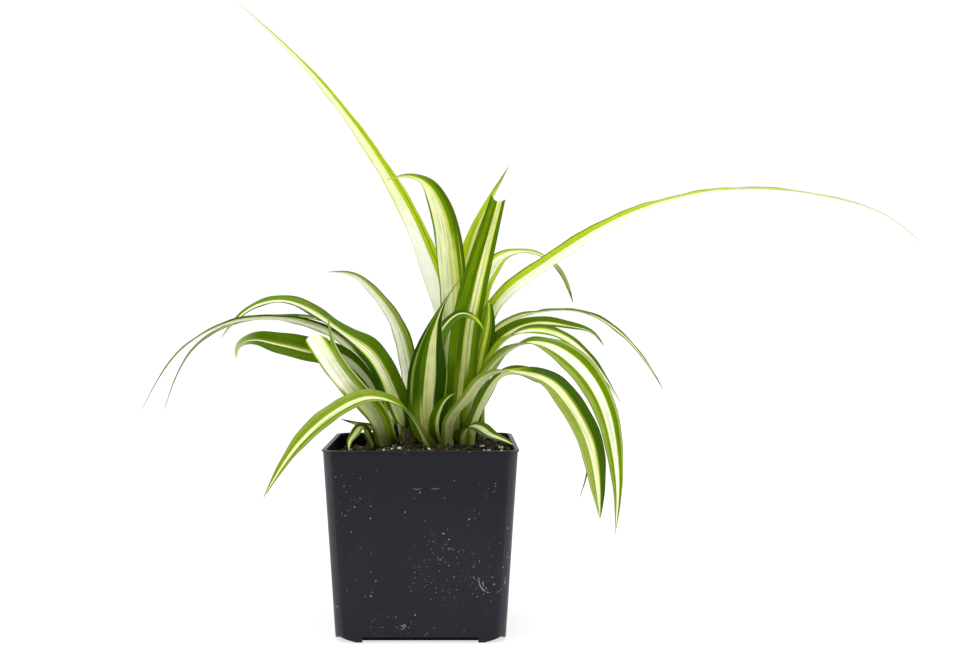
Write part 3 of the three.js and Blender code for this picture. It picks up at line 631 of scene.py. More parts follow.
def leaf_material(name, bands, leaf, length, seed):
    """Stripes that run the length of a leaf, fine veins, and a dry tip where it has one, with painted shade
    in the midrib's fold and just above the soil.
    """
    s = Shader(name)
    across, along, _ = s.parts(s.node("UVMap").outputs["UV"])
    across_mm = s.times(across, leaf["width"])
    along_mm = s.times(along, length)

    def streaks(scale_across, scale_along, shift, detail, rough=0.5):
        """Noise drawn out along the leaf."""
        place = s.place(s.times(across_mm, scale_across), s.times(along_mm, scale_along), seed + shift)
        return s.noise(place, 1.0, detail, rough)

    veins = streaks(1.3, 0.03, 0.0, 3.0, 0.65)
    drift = streaks(0.25, 0.02, 7.0, 1.0)
    shifted = s.plus(across, s.plus(s.sway(drift, STRIPE_WANDER), s.sway(veins, STRIPE_RAG)))
    for share, text in bands.items():
        stripes = s.ramp(shifted, stripe_stops(text))
        if share == 0:
            colour = stripes
        else:
            colour = s.mix(s.ranged(along, share - BAND_CHANGE, share), colour, stripes)
    colour = s.mix(leaf["veins"], colour, s.ramp(veins, VEIN_TINTS), "MULTIPLY")
    patch = s.noise(s.place(across_mm, along_mm, seed + 3.0), 0.22)
    colour = s.mix(1.0, colour, s.ramp(patch, PATCH_TINTS), "MULTIPLY")
    from_midrib = s.math("ABSOLUTE", s.minus(across, 0.5))
    colour = s.darken(s.ranged(from_midrib, *MARGIN_LINE), colour, MARGIN_AND_CREASE_SHADE)
    # Painted shade: a darker line in the fold along the midrib.
    crease_shade = s.times(s.ranged(from_midrib, *CREASE_SHADE_LINE), leaf["veins"] * CREASE_SHADE_STRENGTH)
    colour = s.darken(crease_shade, colour, MARGIN_AND_CREASE_SHADE)
    # Painted shade near the leaf's foot, just above the soil, patchy as it reaches up.
    above_soil = s.minus(along_mm, s.times(patch, FOOT_SHADE_PATCHES))
    colour = s.darken(s.times(s.ranged(above_soil, *FOOT_SHADE_REACH), FOOT_SHADE_STRENGTH), colour, FOOT_SHADE_TINT)
    brown = leaf["brown"]
    if brown:
        edge = s.plus(along, s.sway(veins, 0.03))
        colour = s.mix(s.ranged(edge, 1 - brown, 1 - brown * 0.6), colour, linear(TONES["brown"]))
    s.bump(s.times(veins, s.ranged(along, 0.95, 0.35)), 0.2, 0.00018)
    return s.finish(
        colour, 0.42, 0.13, Specular_Tint=(0.9, 1.0, 0.3, 1.0),
        Subsurface_Weight=0.12, Subsurface_Radius=(1.0, 1.0, 0.4), Subsurface_Scale=0.0006,
    )


def paler(text):
    """The same stripes as the underside shows them, a little greyer."""
    swap = {
        "deep": "leaf", "forest": "moss", "leaf": "olive", "moss": "olive", "olive": "green",
        "green": "sage", "lime": "olive", "sage": "haze", "yellow": "reed", "butter": "reed",
        "cream": "reed", "pale": "cream", "ivory": "mist", "white": "mist",
    }
    parts = [part.split() for part in text.split(", ")]
    return ", ".join(f"{swap.get(tone, tone)} {end}" for tone, end in parts)


# ---- meshes ----


def new_mesh(name, points, faces):
    """A mesh whose points are given in millimetres."""
    mesh = bpy.data.meshes.new(name)
    mesh.from_pydata([tuple(float(c) * MM for c in p) for p in points], [], faces)
    return mesh


def new_object(name, data):
    made = bpy.data.objects.new(name, data)
    bpy.context.scene.collection.objects.link(made)
    return made


def piece(name, points, faces, materials, replaced=(), which=None, uvs=None, sharp=40):
    """A closed mesh that rides on the root body. points are in millimetres."""
    mesh = new_mesh(name, points, faces)
    for material in materials:
        mesh.materials.append(material)
    if which is not None:
        mesh.polygons.foreach_set("material_index", which)
    if uvs is not None:
        layer = mesh.uv_layers.new(name="UVMap")
        corners = np.empty(len(mesh.loops), np.int32)
        mesh.loops.foreach_get("vertex_index", corners)
        layer.data.foreach_set("uv", np.asarray(uvs, np.float32)[corners].ravel())
    mesh.polygons.foreach_set("use_smooth", [True] * len(mesh.polygons))
    mesh.update()
    mesh.set_sharp_from_angle(angle=math.radians(sharp))
    made = new_object(name, mesh)
    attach(made, "root")
    if replaced:
        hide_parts(*replaced)
    return made


def loft(rings, first_centre=None, last_centre=None):
    """Points and faces of a surface over rings of equal counts, closed at both ends."""
    count = len(rings[0])
    points = [p for ring in rings for p in ring]
    faces = []
    for k in range(len(rings) - 1):
        for i in range(count):
            j = (i + 1) % count
            a, b = k * count, (k + 1) * count
            faces.append((a + i, a + j, b + j, b + i))
    top = (len(rings) - 1) * count
    first, last = len(points), len(points) + 1
    points += [first_centre or np.mean(rings[0], axis=0), last_centre or np.mean(rings[-1], axis=0)]
    for i in range(count):
        j = (i + 1) % count
        faces.append((first, j, i))
        faces.append((top + i, top + j, last))
    return points, faces


# ---- leaves ----


class Midrib:
    """A natural cubic spline through points, timed by the straight distance between them."""

    def __init__(self, points):
        self.points = np.array(points, float)
        gaps = np.linalg.norm(np.diff(self.points, axis=0), axis=1)
        self.knots = np.concatenate([[0.0], np.cumsum(gaps)])
        count = len(points)
        system = np.eye(count)
        known = np.zeros((count, 3))
        slopes = np.diff(self.points, axis=0) / gaps[:, None]
        for i in range(1, count - 1):
            system[i, i - 1 : i + 2] = gaps[i - 1], 2 * (gaps[i - 1] + gaps[i]), gaps[i]
            known[i] = 6 * (slopes[i] - slopes[i - 1])
        self.bends = np.linalg.solve(system, known)
        fine = np.linspace(0, self.knots[-1], 1200)
        steps = np.linalg.norm(np.diff(self.at(fine), axis=0), axis=1)
        self.fine, self.run = fine, np.concatenate([[0.0], np.cumsum(steps)])
        self.length = self.run[-1]

    def at(self, time):
        time = np.atleast_1d(time)
        i = np.clip(np.searchsorted(self.knots, time, side="right") - 1, 0, len(self.knots) - 2)
        span = (self.knots[i + 1] - self.knots[i])[:, None]
        b = (time[:, None] - self.knots[i][:, None]) / span
        a = 1 - b
        straight = self.points[i] * a + self.points[i + 1] * b
        bent = self.bends[i] * (a**3 - a) + self.bends[i + 1] * (b**3 - b)
        return straight + bent * span**2 / 6

    def along(self, shares):
        """Points and directions at shares of the true length."""
        time = np.interp(np.asarray(shares) * self.length, self.run, self.fine)
        step = 0.05
        ahead = self.at(np.minimum(time + step, self.knots[-1]))
        behind = self.at(np.maximum(time - step, 0))
        direction = ahead - behind
        return self.at(time), direction / np.linalg.norm(direction, axis=1)[:, None]


def midrib_of(leaf):
    x, y = CROWNS[leaf["crown"]]
    angle = math.radians(leaf["side"])
    radius = RING_RADII[leaf["ring"]]
    foot = (x + radius * math.cos(angle), y + radius * math.sin(angle), CROWN_FLOOR + 2 * CLEARANCE)
    first_x, first_y, _ = leaf["path"][0]
    collar = (lerp(foot[0], first_x, ROOT_LEAN), lerp(foot[1], first_y, ROOT_LEAN), foot[2] + ROOT_RISE)
    return Midrib([foot, collar, *leaf["path"]])


def face_at(leaf, u):
    """Where the upper side looks at a share u of the length."""
    angle = math.radians(leaf["side"])
    looks = [Vector((-math.cos(angle), -math.sin(angle), 0))]
    looks += [Vector(f).normalized() for f in leaf["face"]]
    first = 0.2
    if u < first:
        return looks[0].lerp(looks[1], smooth(u / first))
    steps = len(looks) - 2
    place = (u - first) / (1 - first) * steps
    step = min(steps - 1, int(place))
    return looks[step + 1].lerp(looks[step + 2], smooth(min(1.0, place - step)))


def half_width_at(leaf, u):
    width, peak, tip = leaf["width"], leaf["peak"], leaf["tip"]
    root = min(1.0, leaf["root"] / width)
    if u < peak:
        return width / 2 * (root + (1 - root) * smooth(u / peak))
    fall = ((u - peak) / (1 - peak)) ** leaf["taper"]
    return width / 2 * (tip + (1 - tip) * (1 - fall) ** leaf["slim"])


def channel_at(u):
    opened = lerp(CHANNEL_AT_ROOT, CHANNEL_AT_BLADE, smooth(between(0, 0.3, u)))
    return lerp(opened, CHANNEL_AT_TIP, smooth(between(0.4, 1, u)))


def section(channel):
    """The upper side's outline across a blade of half width 1, as (across, lift) at each column.
    It bends gently at the midrib."""
    half = BLADE_COLUMNS // 2
    slope = math.atan(channel)
    across = lift = 0.0
    right = []
    for k in range(1, half + 1):
        middle = (k - 0.5) / half
        bend = slope * smooth(min(1.0, middle / 0.35))
        across += math.cos(bend) / half / math.cos(slope)
        lift += math.sin(bend) / half / math.cos(slope)
        right.append((across, lift))
    left = [(-across, lift) for across, lift in reversed(right)]
    return left + [(0.0, 0.0)] + right


def blade(name, leaf, seed):
    """A leaf's thin closed blade, with the upper side's bands above and the underside's below."""
    midrib = midrib_of(leaf)
    rng = random.Random(seed)
    phases = [rng.uniform(0, math.tau) for _ in range(4)]
    steps = int(min(170, max(40, midrib.length / STEP_LENGTH)))
    shares = [i / steps for i in range(steps + 1)]
    centres, directions = midrib.along(shares)
    columns = BLADE_COLUMNS + 1
    points, uvs = [], []
    for u, centre, direction in zip(shares, centres, directions):
        along = Vector(direction)
        up = face_at(leaf, u)
        up = (up - along * up.dot(along)).normalized()
        across = along.cross(up)
        half = half_width_at(leaf, u)
        run = u * midrib.length
        wave = WAVE * smooth(between(0.08, 0.3, u)) * min(1.0, half / 4)
        end = smooth(between(0.94, 1, u))
        tops, bottoms = [], []
        for j, (side, lift) in enumerate(section(channel_at(u))):
            edge = (j / BLADE_COLUMNS) * 2 - 1
            flutter = wave * abs(edge) ** 2 * (
                math.sin(run * WAVE_RATES[0] + phases[0 if edge < 0 else 1])
                + 0.5 * math.sin(run * WAVE_RATES[1] + phases[2 if edge < 0 else 3])
            )
            p = Vector(centre) + across * (side * half) + up * (lift * half + flutter)
            if leaf["cut"]:
                left, middle, right = leaf["cut"]
                slant = lerp(middle, left if edge < 0 else right, edge * edge)
                p += along * (slant * end)
            thickness = BLADE_THICKNESS * (1 - 0.65 * abs(edge) ** 3) * (0.5 + 0.5 * between(1, 0.9, u))
            tops.append(p)
            bottoms.append(p - up * thickness)
            uvs.append((j / BLADE_COLUMNS, u))
        uvs += uvs[-columns:]
        points += tops + bottoms
    faces, which = blade_faces(steps, columns)
    upper = leaf_material(f"{name}_upper", leaf["upper"], leaf, midrib.length, seed * 1.7)
    under = leaf["lower"] or {share: paler(text) for share, text in leaf["upper"].items()}
    lower = leaf_material(f"{name}_lower", under, leaf, midrib.length, seed * 1.7)
    piece(f"blade_{name}", points, faces, [upper, lower], [f"leaf_{name}"], which, uvs, 55)


def blade_faces(steps, columns):
    """Faces of a thin blade, and which of them are its underside."""
    faces, which = [], []
    row = 2 * columns
    for i in range(steps):
        here, ahead = i * row, (i + 1) * row
        for j in range(columns - 1):
            faces.append((here + j, here + j + 1, ahead + j + 1, ahead + j))
            which.append(0)
            a, b = here + columns + j, ahead + columns + j
            faces.append((a, b, b + 1, a + 1))
            which.append(1)
        right = columns - 1
        faces.append((here, ahead, ahead + columns, here + columns))
        faces.append((here + right, here + right + columns, ahead + right + columns, ahead + right))
        which += [0, 0]
    end = steps * row
    for j in range(columns - 1):
        faces.append((j, columns + j, columns + j + 1, j + 1))
        faces.append((end + j, end + j + 1, end + columns + j + 1, end + columns + j))
        which += [0, 0]
    return faces, which


# ---- the pot ----

WALL_TOP = POT_HEIGHT - RIM_DEPTH
WALL_TOP_HALF = POT_TOP_WIDTH / 2 - RIM_OVERHANG
WALL_FOOT_HALF = POT_BASE_WIDTH / 2


def wall_half_at(z):
    return lerp(WALL_FOOT_HALF, WALL_TOP_HALF, z / WALL_TOP)


def corner_at(z):
    return lerp(CORNER_RADIUS_BASE, CORNER_RADIUS_TOP, z / WALL_TOP)


# Where the points of a wall's flat part lie, as shares of its half length.
SIDE_STATIONS = [
    -FOOT_OUTER, -FOOT_INNER, -FOOT_INNER + 0.004, -0.6, -0.4, -0.2, 0.0,
    0.2, 0.4, 0.6, FOOT_INNER - 0.004, FOOT_INNER, FOOT_OUTER,
]


def square_ring(half, radius, height_at):
    """Points round a rounded square. height_at(from_foot) takes the distance along the wall from
    the outer end of the nearest foot, or None between the feet."""
    reach = half - radius
    ring = []
    for side in range(4):
        turn = side * math.pi / 2
        local = [(half, share * reach, 0.0 if abs(share) >= FOOT_INNER else None) for share in SIDE_STATIONS]
        for angle in quarter_turn(CORNER_STEPS):
            from_foot = (1 - FOOT_OUTER) * reach + radius * min(angle, math.pi / 2 - angle)
            local.append((reach + radius * math.cos(angle), reach + radius * math.sin(angle), from_foot))
        for x, y, from_foot in local:
            px = x * math.cos(turn) - y * math.sin(turn)
            py = x * math.sin(turn) + y * math.cos(turn)
            ring.append((px, py, height_at(from_foot)))
    return ring


def foot_height(from_foot):
    return FOOT_HEIGHT if from_foot is None else FOOT_HEIGHT * between(0, FOOT_RAMP, from_foot)


def make_pot():
    def level(z):
        return lambda from_foot: z

    def inset(z, depth, height_at=None):
        return square_ring(wall_half_at(z) - depth, corner_at(z) - min(depth, WALL), height_at or level(z))

    def rim(depth, z):
        return square_ring(POT_TOP_WIDTH / 2 - depth, CORNER_RADIUS_TOP - depth, level(z))

    # From the middle of the underside, out under the pan and the recess round it, down to the
    # feet, up the outer wall, over the rim and down the inner wall to the pan.
    pan_inset = WALL + RECESS_WIDTH
    pan_top = RECESS_TOP + PAN_THICKNESS
    rings = [
        inset(0, pan_inset + 0.5, level(0)),
        inset(0, pan_inset + 0.1, level(0.15)),
        inset(0, pan_inset - 0.2, level(RECESS_TOP)),
        inset(0, WALL, level(RECESS_TOP)),
        inset(0, WALL, foot_height),
        inset(0, WALL - 0.3, foot_height),
        inset(0, 0.15, foot_height),
        inset(0, 0, lambda from_foot: foot_height(from_foot) + 0.25),
    ]
    rings += [inset(lerp(FOOT_HEIGHT + 1, WALL_TOP - 0.6, k / 10), 0) for k in range(11)]
    rings += [inset(WALL_TOP, 0), rim(0.3, WALL_TOP + 0.02), rim(0.05, WALL_TOP + 0.15)]
    lip = LIP_RADIUS
    for angle in quarter_turn(5):
        rings.append(rim(lip - lip * math.cos(angle), POT_HEIGHT - lip + lip * math.sin(angle)))
    for angle in quarter_turn(4):
        rings.append(rim(RIM_WIDTH - lip + lip * math.sin(angle), POT_HEIGHT - lip + lip * math.cos(angle)))
    rings += [
        rim(RIM_WIDTH, WALL_TOP),
        inset(WALL_TOP - 0.8, WALL),
        inset(pan_top, WALL),
        inset(pan_top, pan_inset + 1),
        inset(PAN_THICKNESS, pan_inset + PAN_CORNER),
    ]
    points, faces = loft(rings, (0, 0, 0), (0, 0, PAN_THICKNESS))
    pot = piece("pot_shell", points, faces, [pot_material()], ["pot"])
    for x in (-DRAIN_OFFSET, DRAIN_OFFSET):
        for y in (-DRAIN_OFFSET, DRAIN_OFFSET):
            cut_drain(pot, x, y)


def cut_drain(pot, x, y):
    rings = []
    for z in (-1, PAN_THICKNESS + 1):
        angles = full_turn(40)
        rings.append([(x + DRAIN_RADIUS * math.cos(a), y + DRAIN_RADIUS * math.sin(a), z) for a in angles])
    tool = new_object("drain", new_mesh("drain", *loft(rings)))
    cut = pot.modifiers.new("drain", "BOOLEAN")
    cut.operation = "DIFFERENCE"
    cut.object = tool
    cut.solver = "EXACT"
    with bpy.context.temp_override(object=pot, active_object=pot):
        bpy.ops.object.modifier_apply(modifier=cut.name)
    mesh = tool.data
    bpy.data.objects.remove(tool)
    bpy.data.meshes.remove(mesh)


PLASTIC = [(0.3, (0.0075, 0.008, 0.0112, 1)), (0.7, (0.0108, 0.0115, 0.0162, 1))]
# The colour that the inner walls are drawn in, as painted shade.
INSIDE_SHADE = (0.0035, 0.0035, 0.004, 1)
RIM_SHADE = (0.62, 0.62, 0.7, 1.0)  # painted shade: how much darker the walls are drawn towards the rim
REFLECTION_STRIP_WIDTH = 4.6  # the width of the paler strip down each corner as seen from the front, a painted reflection of the bright sides
PAINTED_CORNER_REFLECTION = (0.022, 0.0225, 0.026, 1.0)
DUST = (0.36, 0.36, 0.35, 1)
SCRATCH = (0.3, 0.3, 0.29, 1)

# Specks in three sizes: cells to a metre, how rare a cell with a speck is, and the speck's radius
# as a share of its cell.
SPECKS = ((420.0, 0.62, 0.11), (900.0, 0.70, 0.14), (210.0, 0.90, 0.07))
# Patches of pale specks on the front wall: x, z and radius.
SPECK_PATCHES = (
    (-26.0, 74.0, 5.0), (-38.0, 63.0, 9.0), (-33.0, 68.0, 7.0), (10.0, 46.0, 13.0), (22.0, 38.0, 15.0),
    (2.0, 34.0, 12.0), (30.0, 27.0, 12.0), (12.0, 22.0, 13.0), (-18.0, 8.0, 9.0), (-6.0, 7.0, 7.0),
    (33.0, 76.0, 7.0),
)
# Scuffs on the front wall: x, z and radius of a thin broken ring, and how far up it shows,
# as a share of its radius. The last two are only the bottoms of their rings.
SCUFFS = (
    (35.0, 31.0, 6.5, 2.0), (33.5, 29.5, 3.0, 2.0), (-9.5, 7.0, 2.6, 2.0), (-9.5, 7.0, 1.5, 2.0),
    (-1.4, 79.4, 4.0, -0.82), (7.4, 79.6, 4.0, -0.82),
)


def pot_material():
    s = Shader("nursery_plastic")
    here = s.here()
    place_x, place_y, height = s.parts(here)
    from_middle_x = s.math("ABSOLUTE", place_x)
    from_middle_y = s.math("ABSOLUTE", place_y)
    cloud = s.noise(here, 24.0, 4.0, 0.6)
    # Painted shade: the walls are drawn darker from halfway up towards the rim.
    colour = s.darken(s.ranged(height, 0.045, 0.088), s.ramp(cloud, PLASTIC), RIM_SHADE)

    slope = (WALL_TOP_HALF - WALL_FOOT_HALF) / WALL_TOP
    wall_half = s.plus(s.times(height, slope), WALL_FOOT_HALF * MM)
    from_side = s.minus(wall_half, from_middle_x)
    # Painted reflection: a paler strip down each front corner, where the bright sides are mirrored.
    reflected_strip = s.ranged(from_side, REFLECTION_STRIP_WIDTH * MM, REFLECTION_STRIP_WIDTH * 0.85 * MM)
    colour = s.mix(s.times(reflected_strip, s.ranged(place_y, 0.0, -0.03)), colour, PAINTED_CORNER_REFLECTION)

    front = s.ranged(place_y, -0.038, -0.041)
    flat_place = s.place(place_x, 0.0, height)
    patches = 0.0
    for x, z, radius in SPECK_PATCHES:
        patch = s.ranged(s.distance(flat_place, (x * MM, 0, z * MM)), radius * MM, radius * MM * 0.3)
        patches = s.greater(patches, patch)
    veil = s.ranged(s.noise(here, 45.0, 3.0, 0.6), 0.5, 0.72)
    density = s.times(s.greater(s.times(patches, front), s.times(veil, 0.45)), 0.3)
    for scale, rare, dot in SPECKS:
        from_point, chance, strength = s.cells(here, scale)
        few = s.math("GREATER_THAN", s.plus(chance, density), rare + 0.3)
        spot = s.times(s.ranged(from_point, dot * 2, dot), few)
        colour = s.mix(s.times(spot, s.times(strength, 0.8)), colour, DUST)

    broken = s.times(front, s.ranged(s.noise(here, 330.0), 0.5, 0.66))
    for x, z, radius, top in SCUFFS:
        from_ring = s.minus(s.distance(flat_place, (x * MM, 0, z * MM)), radius * MM)
        line = s.ranged(s.math("ABSOLUTE", from_ring), 0.00045, 0.0001)
        ring = s.times(line, front if top < 0 else broken)
        shown = s.ranged(height, (z + radius * top) * MM, (z + radius * (top - 0.15)) * MM)
        colour = s.mix(s.times(s.times(ring, shown), 0.3 if top < 0 else 0.7), colour, SCRATCH)

    # How deep a point lies behind the outer face, round the corners too.
    reach = s.minus(wall_half, CORNER_RADIUS_TOP * MM)
    past_x = s.greater(s.minus(from_middle_x, reach), 0.0)
    past_y = s.greater(s.minus(from_middle_y, reach), 0.0)
    depth = s.minus(CORNER_RADIUS_TOP * MM, s.distance(s.place(past_x, past_y), (0, 0, 0)))
    # Painted shade: the inner walls are drawn darker than the same plastic outside, with less specular.
    shaded_inside = s.times(s.ranged(depth, 0.0008, 0.0013), s.ranged(height, 0.0935, 0.0925))
    colour = s.mix(shaded_inside, colour, INSIDE_SHADE)
    s.bump(s.noise(here, 900.0), 0.1, 0.00005)
    roughness = s.ranged(cloud, 0.3, 0.7, 0.34, 0.44)
    specular = s.ranged(shaded_inside, 0.0, 1.0, 0.22, 0.05)
    return s.finish(colour, roughness, specular, Specular_Tint=(0.86, 0.9, 1.0, 1.0))


# ---- the soil ----


def soil_height(x, y):
    """The lie of the soil: level to the right, dipping along the left wall."""
    dip = SOIL_DIP * smooth(between(12, 40, -x))
    edge = 1.2 * smooth(between(36, 47, max(abs(x), abs(y))))
    lumps = 0.5 * math.sin(0.43 * x + 1.3) * math.sin(0.39 * y + 0.4)
    return SOIL_LEVEL - dip - edge + lumps


def crumbly(x, y):
    """The soil's surface with its lumps and grains."""
    clods = noise.noise(Vector((x * 0.16, y * 0.16, 3.1))) * 1.5
    lumps = noise.noise(Vector((x * 0.45, y * 0.45, 7.7))) * 1.0
    grains = noise.noise(Vector((x * 1.2, y * 1.2, 1.9))) * 0.45
    return soil_height(x, y) + clods + lumps + grains


def in_square(x, y, half, radius):
    """Draws a point of a square in to the rounded square of the same size."""
    reach = half - radius
    px, py = abs(x) - reach, abs(y) - reach
    if px > 0 and py > 0 and math.hypot(px, py) > radius:
        shrink = radius / math.hypot(px, py)
        return math.copysign(reach + px * shrink, x), math.copysign(reach + py * shrink, y)
    return x, y


def make_soil():
    cells = SOIL_CELLS
    half = wall_half_at(SOIL_SHOULDER) - WALL - CLEARANCE
    radius = corner_at(SOIL_SHOULDER) - WALL
    ticks = [half * (2 * i / cells - 1) for i in range(cells + 1)]
    points = []
    for y in ticks:
        for x in ticks:
            px, py = in_square(x, y, half, radius)
            points.append((px, py, crumbly(px, py)))
    row = cells + 1
    faces = []
    for j in range(cells):
        for i in range(cells):
            a = j * row + i
            faces.append((a, a + 1, a + row + 1, a + row))
    rim = list(range(cells))
    rim += [j * row + cells for j in range(cells)]
    rim += [cells * row + i for i in range(cells, 0, -1)]
    rim += [j * row for j in range(cells, 0, -1)]
    floor = RECESS_TOP + PAN_THICKNESS + CLEARANCE
    low_half = wall_half_at(floor) - WALL - CLEARANCE
    pan_half = WALL_FOOT_HALF - WALL - RECESS_WIDTH - PAN_CORNER - CLEARANCE
    above = rim
    for reach, z in ((low_half, floor), (pan_half, floor), (pan_half, PAN_THICKNESS + CLEARANCE)):
        share = reach / half
        below = []
        for index in rim:
            x, y, _ = points[index]
            below.append(len(points))
            points.append((x * share, y * share, z))
        for k in range(len(rim)):
            n = (k + 1) % len(rim)
            faces.append((above[k], below[k], below[n], above[n]))
        above = below
    faces.append(tuple(reversed(above)))
    piece("soil_bed", points, faces, [soil_material("potting_mix")], ["soil"], sharp=180)


# The darkest and lightest colour of each crumbly stuff.
EARTHS = {
    "potting_mix": ((0.009, 0.0068, 0.005, 1), (0.1, 0.074, 0.042, 1)),
    "dark_crumb": ((0.008, 0.006, 0.005, 1), (0.05, 0.035, 0.024, 1)),
    "bark_bit": ((0.03, 0.021, 0.013, 1), (0.11, 0.078, 0.05, 1)),
    "dried_sheath_shade_fill": ((0.016, 0.011, 0.006, 1), (0.13, 0.095, 0.055, 1)),
}
FIBRE = (0.5, 0.44, 0.33, 1)


def soil_material(name):
    s = Shader(name)
    here = s.here()
    big = s.noise(here, 260.0, 4.0, 0.7)
    fine = s.noise(here, 1500.0, 3.0, 0.7)
    both = s.plus(s.times(big, 0.6), s.times(fine, 0.4))
    dark, light = EARTHS[name]
    middle = tuple(lerp(a, b, 0.35) for a, b in zip(dark, light))
    colour = s.ramp(both, [(0.36, dark), (0.5, middle), (0.64, light)])
    from_point, chance, strength = s.cells(here, 700.0)
    speck = s.times(s.ranged(from_point, 0.35, 0.22), strength)
    few = s.math("GREATER_THAN", chance, 0.8)
    colour = s.mix(s.times(speck, few), colour, FIBRE)
    s.bump(both, 0.9, 0.0009)
    return s.finish(colour, 0.92, 0.2)


def perlite_material():
    s = Shader("perlite_white")
    fleck = s.noise(s.here(), 1800.0, 3.0)
    colour = s.ramp(fleck, [(0.3, (0.42, 0.39, 0.34, 1)), (0.55, (0.78, 0.77, 0.73, 1))])
    s.bump(fleck, 0.6, 0.0003)
    return s.finish(colour, 0.85, 0.3)


def lump_shape():
    """A rounded blob of 26 points and 24 faces, as unit vectors."""
    points, index = [], {}
    for x in (-1, 0, 1):
        for y in (-1, 0, 1):
            for z in (-1, 0, 1):
                if (x, y, z) != (0, 0, 0):
                    index[(x, y, z)] = len(points)
                    points.append(Vector((x, y, z)).normalized())
    faces = []
    for axis in range(3):
        for sign in (-1, 1):
            b, c = (axis + 1) % 3, (axis + 2) % 3
            for i in (-1, 0):
                for j in (-1, 0):
                    quad = []
                    for di, dj in ((0, 0), (1, 0), (1, 1), (0, 1)):
                        key = [0, 0, 0]
                        key[axis], key[b], key[c] = sign, i + di, j + dj
                        quad.append(index[tuple(key)])
                    faces.append(tuple(quad if sign > 0 else reversed(quad)))
    return points, faces


def scatter(name, places, material, stretch, jag, seed):
    """Small lumps at places, each (x, y, z, size), all in one piece."""
    rng = random.Random(seed)
    unit, unit_faces = lump_shape()
    points, faces = [], []
    for x, y, z, size in places:
        turn = Vector([rng.gauss(0, 1) for _ in range(3)]).normalized().to_track_quat("Z", "Y")
        sizes = [size * rng.uniform(1 - stretch, 1 + stretch) / 2 for _ in range(3)]
        start = len(points)
        for p in unit:
            q = Vector(p[k] * sizes[k] * rng.uniform(1 - jag, 1 + jag) for k in range(3))
            q.rotate(turn)
            points.append((x + q.x, y + q.y, z + q.z))
        faces += [tuple(start + i for i in face) for face in unit_faces]
    piece(name, points, faces, [material], sharp=50)


def strewn(rng, count, rise, size_of):
    """Random places on the soil for scatter. A lump's middle is rise times its size above it."""
    half = STREWN_HALF
    places = []
    for _ in range(count):
        x, y = in_square(rng.uniform(-half, half), rng.uniform(-half, half), half, STREWN_CORNER)
        size = size_of()
        places.append((x, y, crumbly(x, y) + size * rise, size))
    return places


PERLITE_SEEN = ((-27.0, 14.0, 2.3), (-25.0, 10.0, 1.6), (27.8, 22.8, 2.0), (31.1, -17.6, 2.0))


def make_crumbs():
    rng = random.Random(11)
    crumbs = strewn(rng, 1500, 0.15, lambda: 0.5 + 2.1 * rng.random() ** 4)
    scatter("soil_crumbs", crumbs, soil_material("dark_crumb"), stretch=0.45, jag=0.3, seed=12)
    bark = strewn(rng, 110, 0.2, lambda: rng.uniform(1.2, 3.0))
    scatter("bark_bits", bark, soil_material("bark_bit"), stretch=0.6, jag=0.3, seed=13)
    grains = [(x, y, crumbly(x, y) + size * 0.25, size) for x, y, size in PERLITE_SEEN]
    grains += strewn(rng, 110, 0.2, lambda: rng.uniform(0.6, 2.0))
    scatter("perlite", grains, perlite_material(), stretch=0.3, jag=0.18, seed=14)


# Dried scraps of old leaves among the leaf bases, some also set as a dark fill for the shade between them:
# foot, tip and greatest width.
SHEATHS_AND_SHADE_FILL = (
    ((-13.5, 11, 90), (-14.5, 9, 102), 8.0),
    ((-7.5, 14, 90), (-7.0, 13, 105), 9.0),
    ((-8.5, -6, 90), (-6.5, -8, 103), 2.5),
    ((-6.5, -7, 90), (-9.5, -9, 101), 2.0),
    ((-27.0, 6, 88), (-25.0, 8, 99), 8.0),
)


def make_sheaths_and_shade_fill():
    """Thin ragged brown scraps that stand in the soil between the leaves: real dried leaf scraps, and a dark
    fill for the shade between the leaf bases.
    """
    rng = random.Random(21)
    steps = 8
    outline = ((-1, -0.1), (0, -0.5), (1, -0.1), (1, 0.1), (0, -0.2), (-1, 0.1))
    points, faces = [], []
    for foot, tip, width in SHEATHS_AND_SHADE_FILL:
        rings = []
        for k in range(steps + 1):
            share = k / steps
            half = width / 2 * (1 - 0.85 * share * share) * rng.uniform(0.8, 1.15)
            x, y, z = (lerp(a, b, share) for a, b in zip(foot, tip))
            ring = [(x + side * half, y + front, z + rng.uniform(-0.3, 0.3)) for side, front in outline]
            rings.append(ring)
        made, made_faces = loft(rings)
        start = len(points)
        points += made
        faces += [tuple(start + i for i in face) for face in made_faces]
    piece("dried_sheaths_and_shade_fill", points, faces, [soil_material("dried_sheath_shade_fill")], sharp=30)


# ---- crowns ----


def make_crown(name, x, y, material, seed):
    """A short firm stem with shallow ribs, in its planting hole."""
    rng = random.Random(seed)
    sides, levels = 36, 14
    phase = rng.uniform(0, math.tau)
    rings = []
    for k in range(levels + 1):
        share = k / levels
        belly = CROWN_RADIUS * (0.9 + 0.1 * math.sin(math.pi * min(1, share * 1.4)))
        top = math.sqrt(max(0.0, 1 - between(0.6, 1.0, share) ** 2))
        radius = max(0.15, belly * top)
        height = CROWN_FLOOR + CLEARANCE + share * CROWN_HEIGHT
        ring = []
        for angle in full_turn(sides):
            rib = 1 + 0.06 * math.sin(6 * angle + phase) + 0.02 * math.sin(17 * angle)
            ring.append((x + radius * rib * math.cos(angle), y + radius * rib * math.sin(angle), height))
        rings.append(ring)
    points, faces = loft(rings)
    piece(f"stem_{name}", points, faces, [material], [f"crown_{name}"])


def crown_material():
    s = Shader("pale_stem")
    grain = s.noise(s.here(), 420.0, 3.0)
    colour = s.ramp(grain, [(0.3, linear((150, 152, 98))), (0.7, linear((206, 206, 160)))])
    s.bump(grain, 0.4, 0.0003)
    return s.finish(colour, 0.6, 0.35)


# ---- floor, light and camera ----

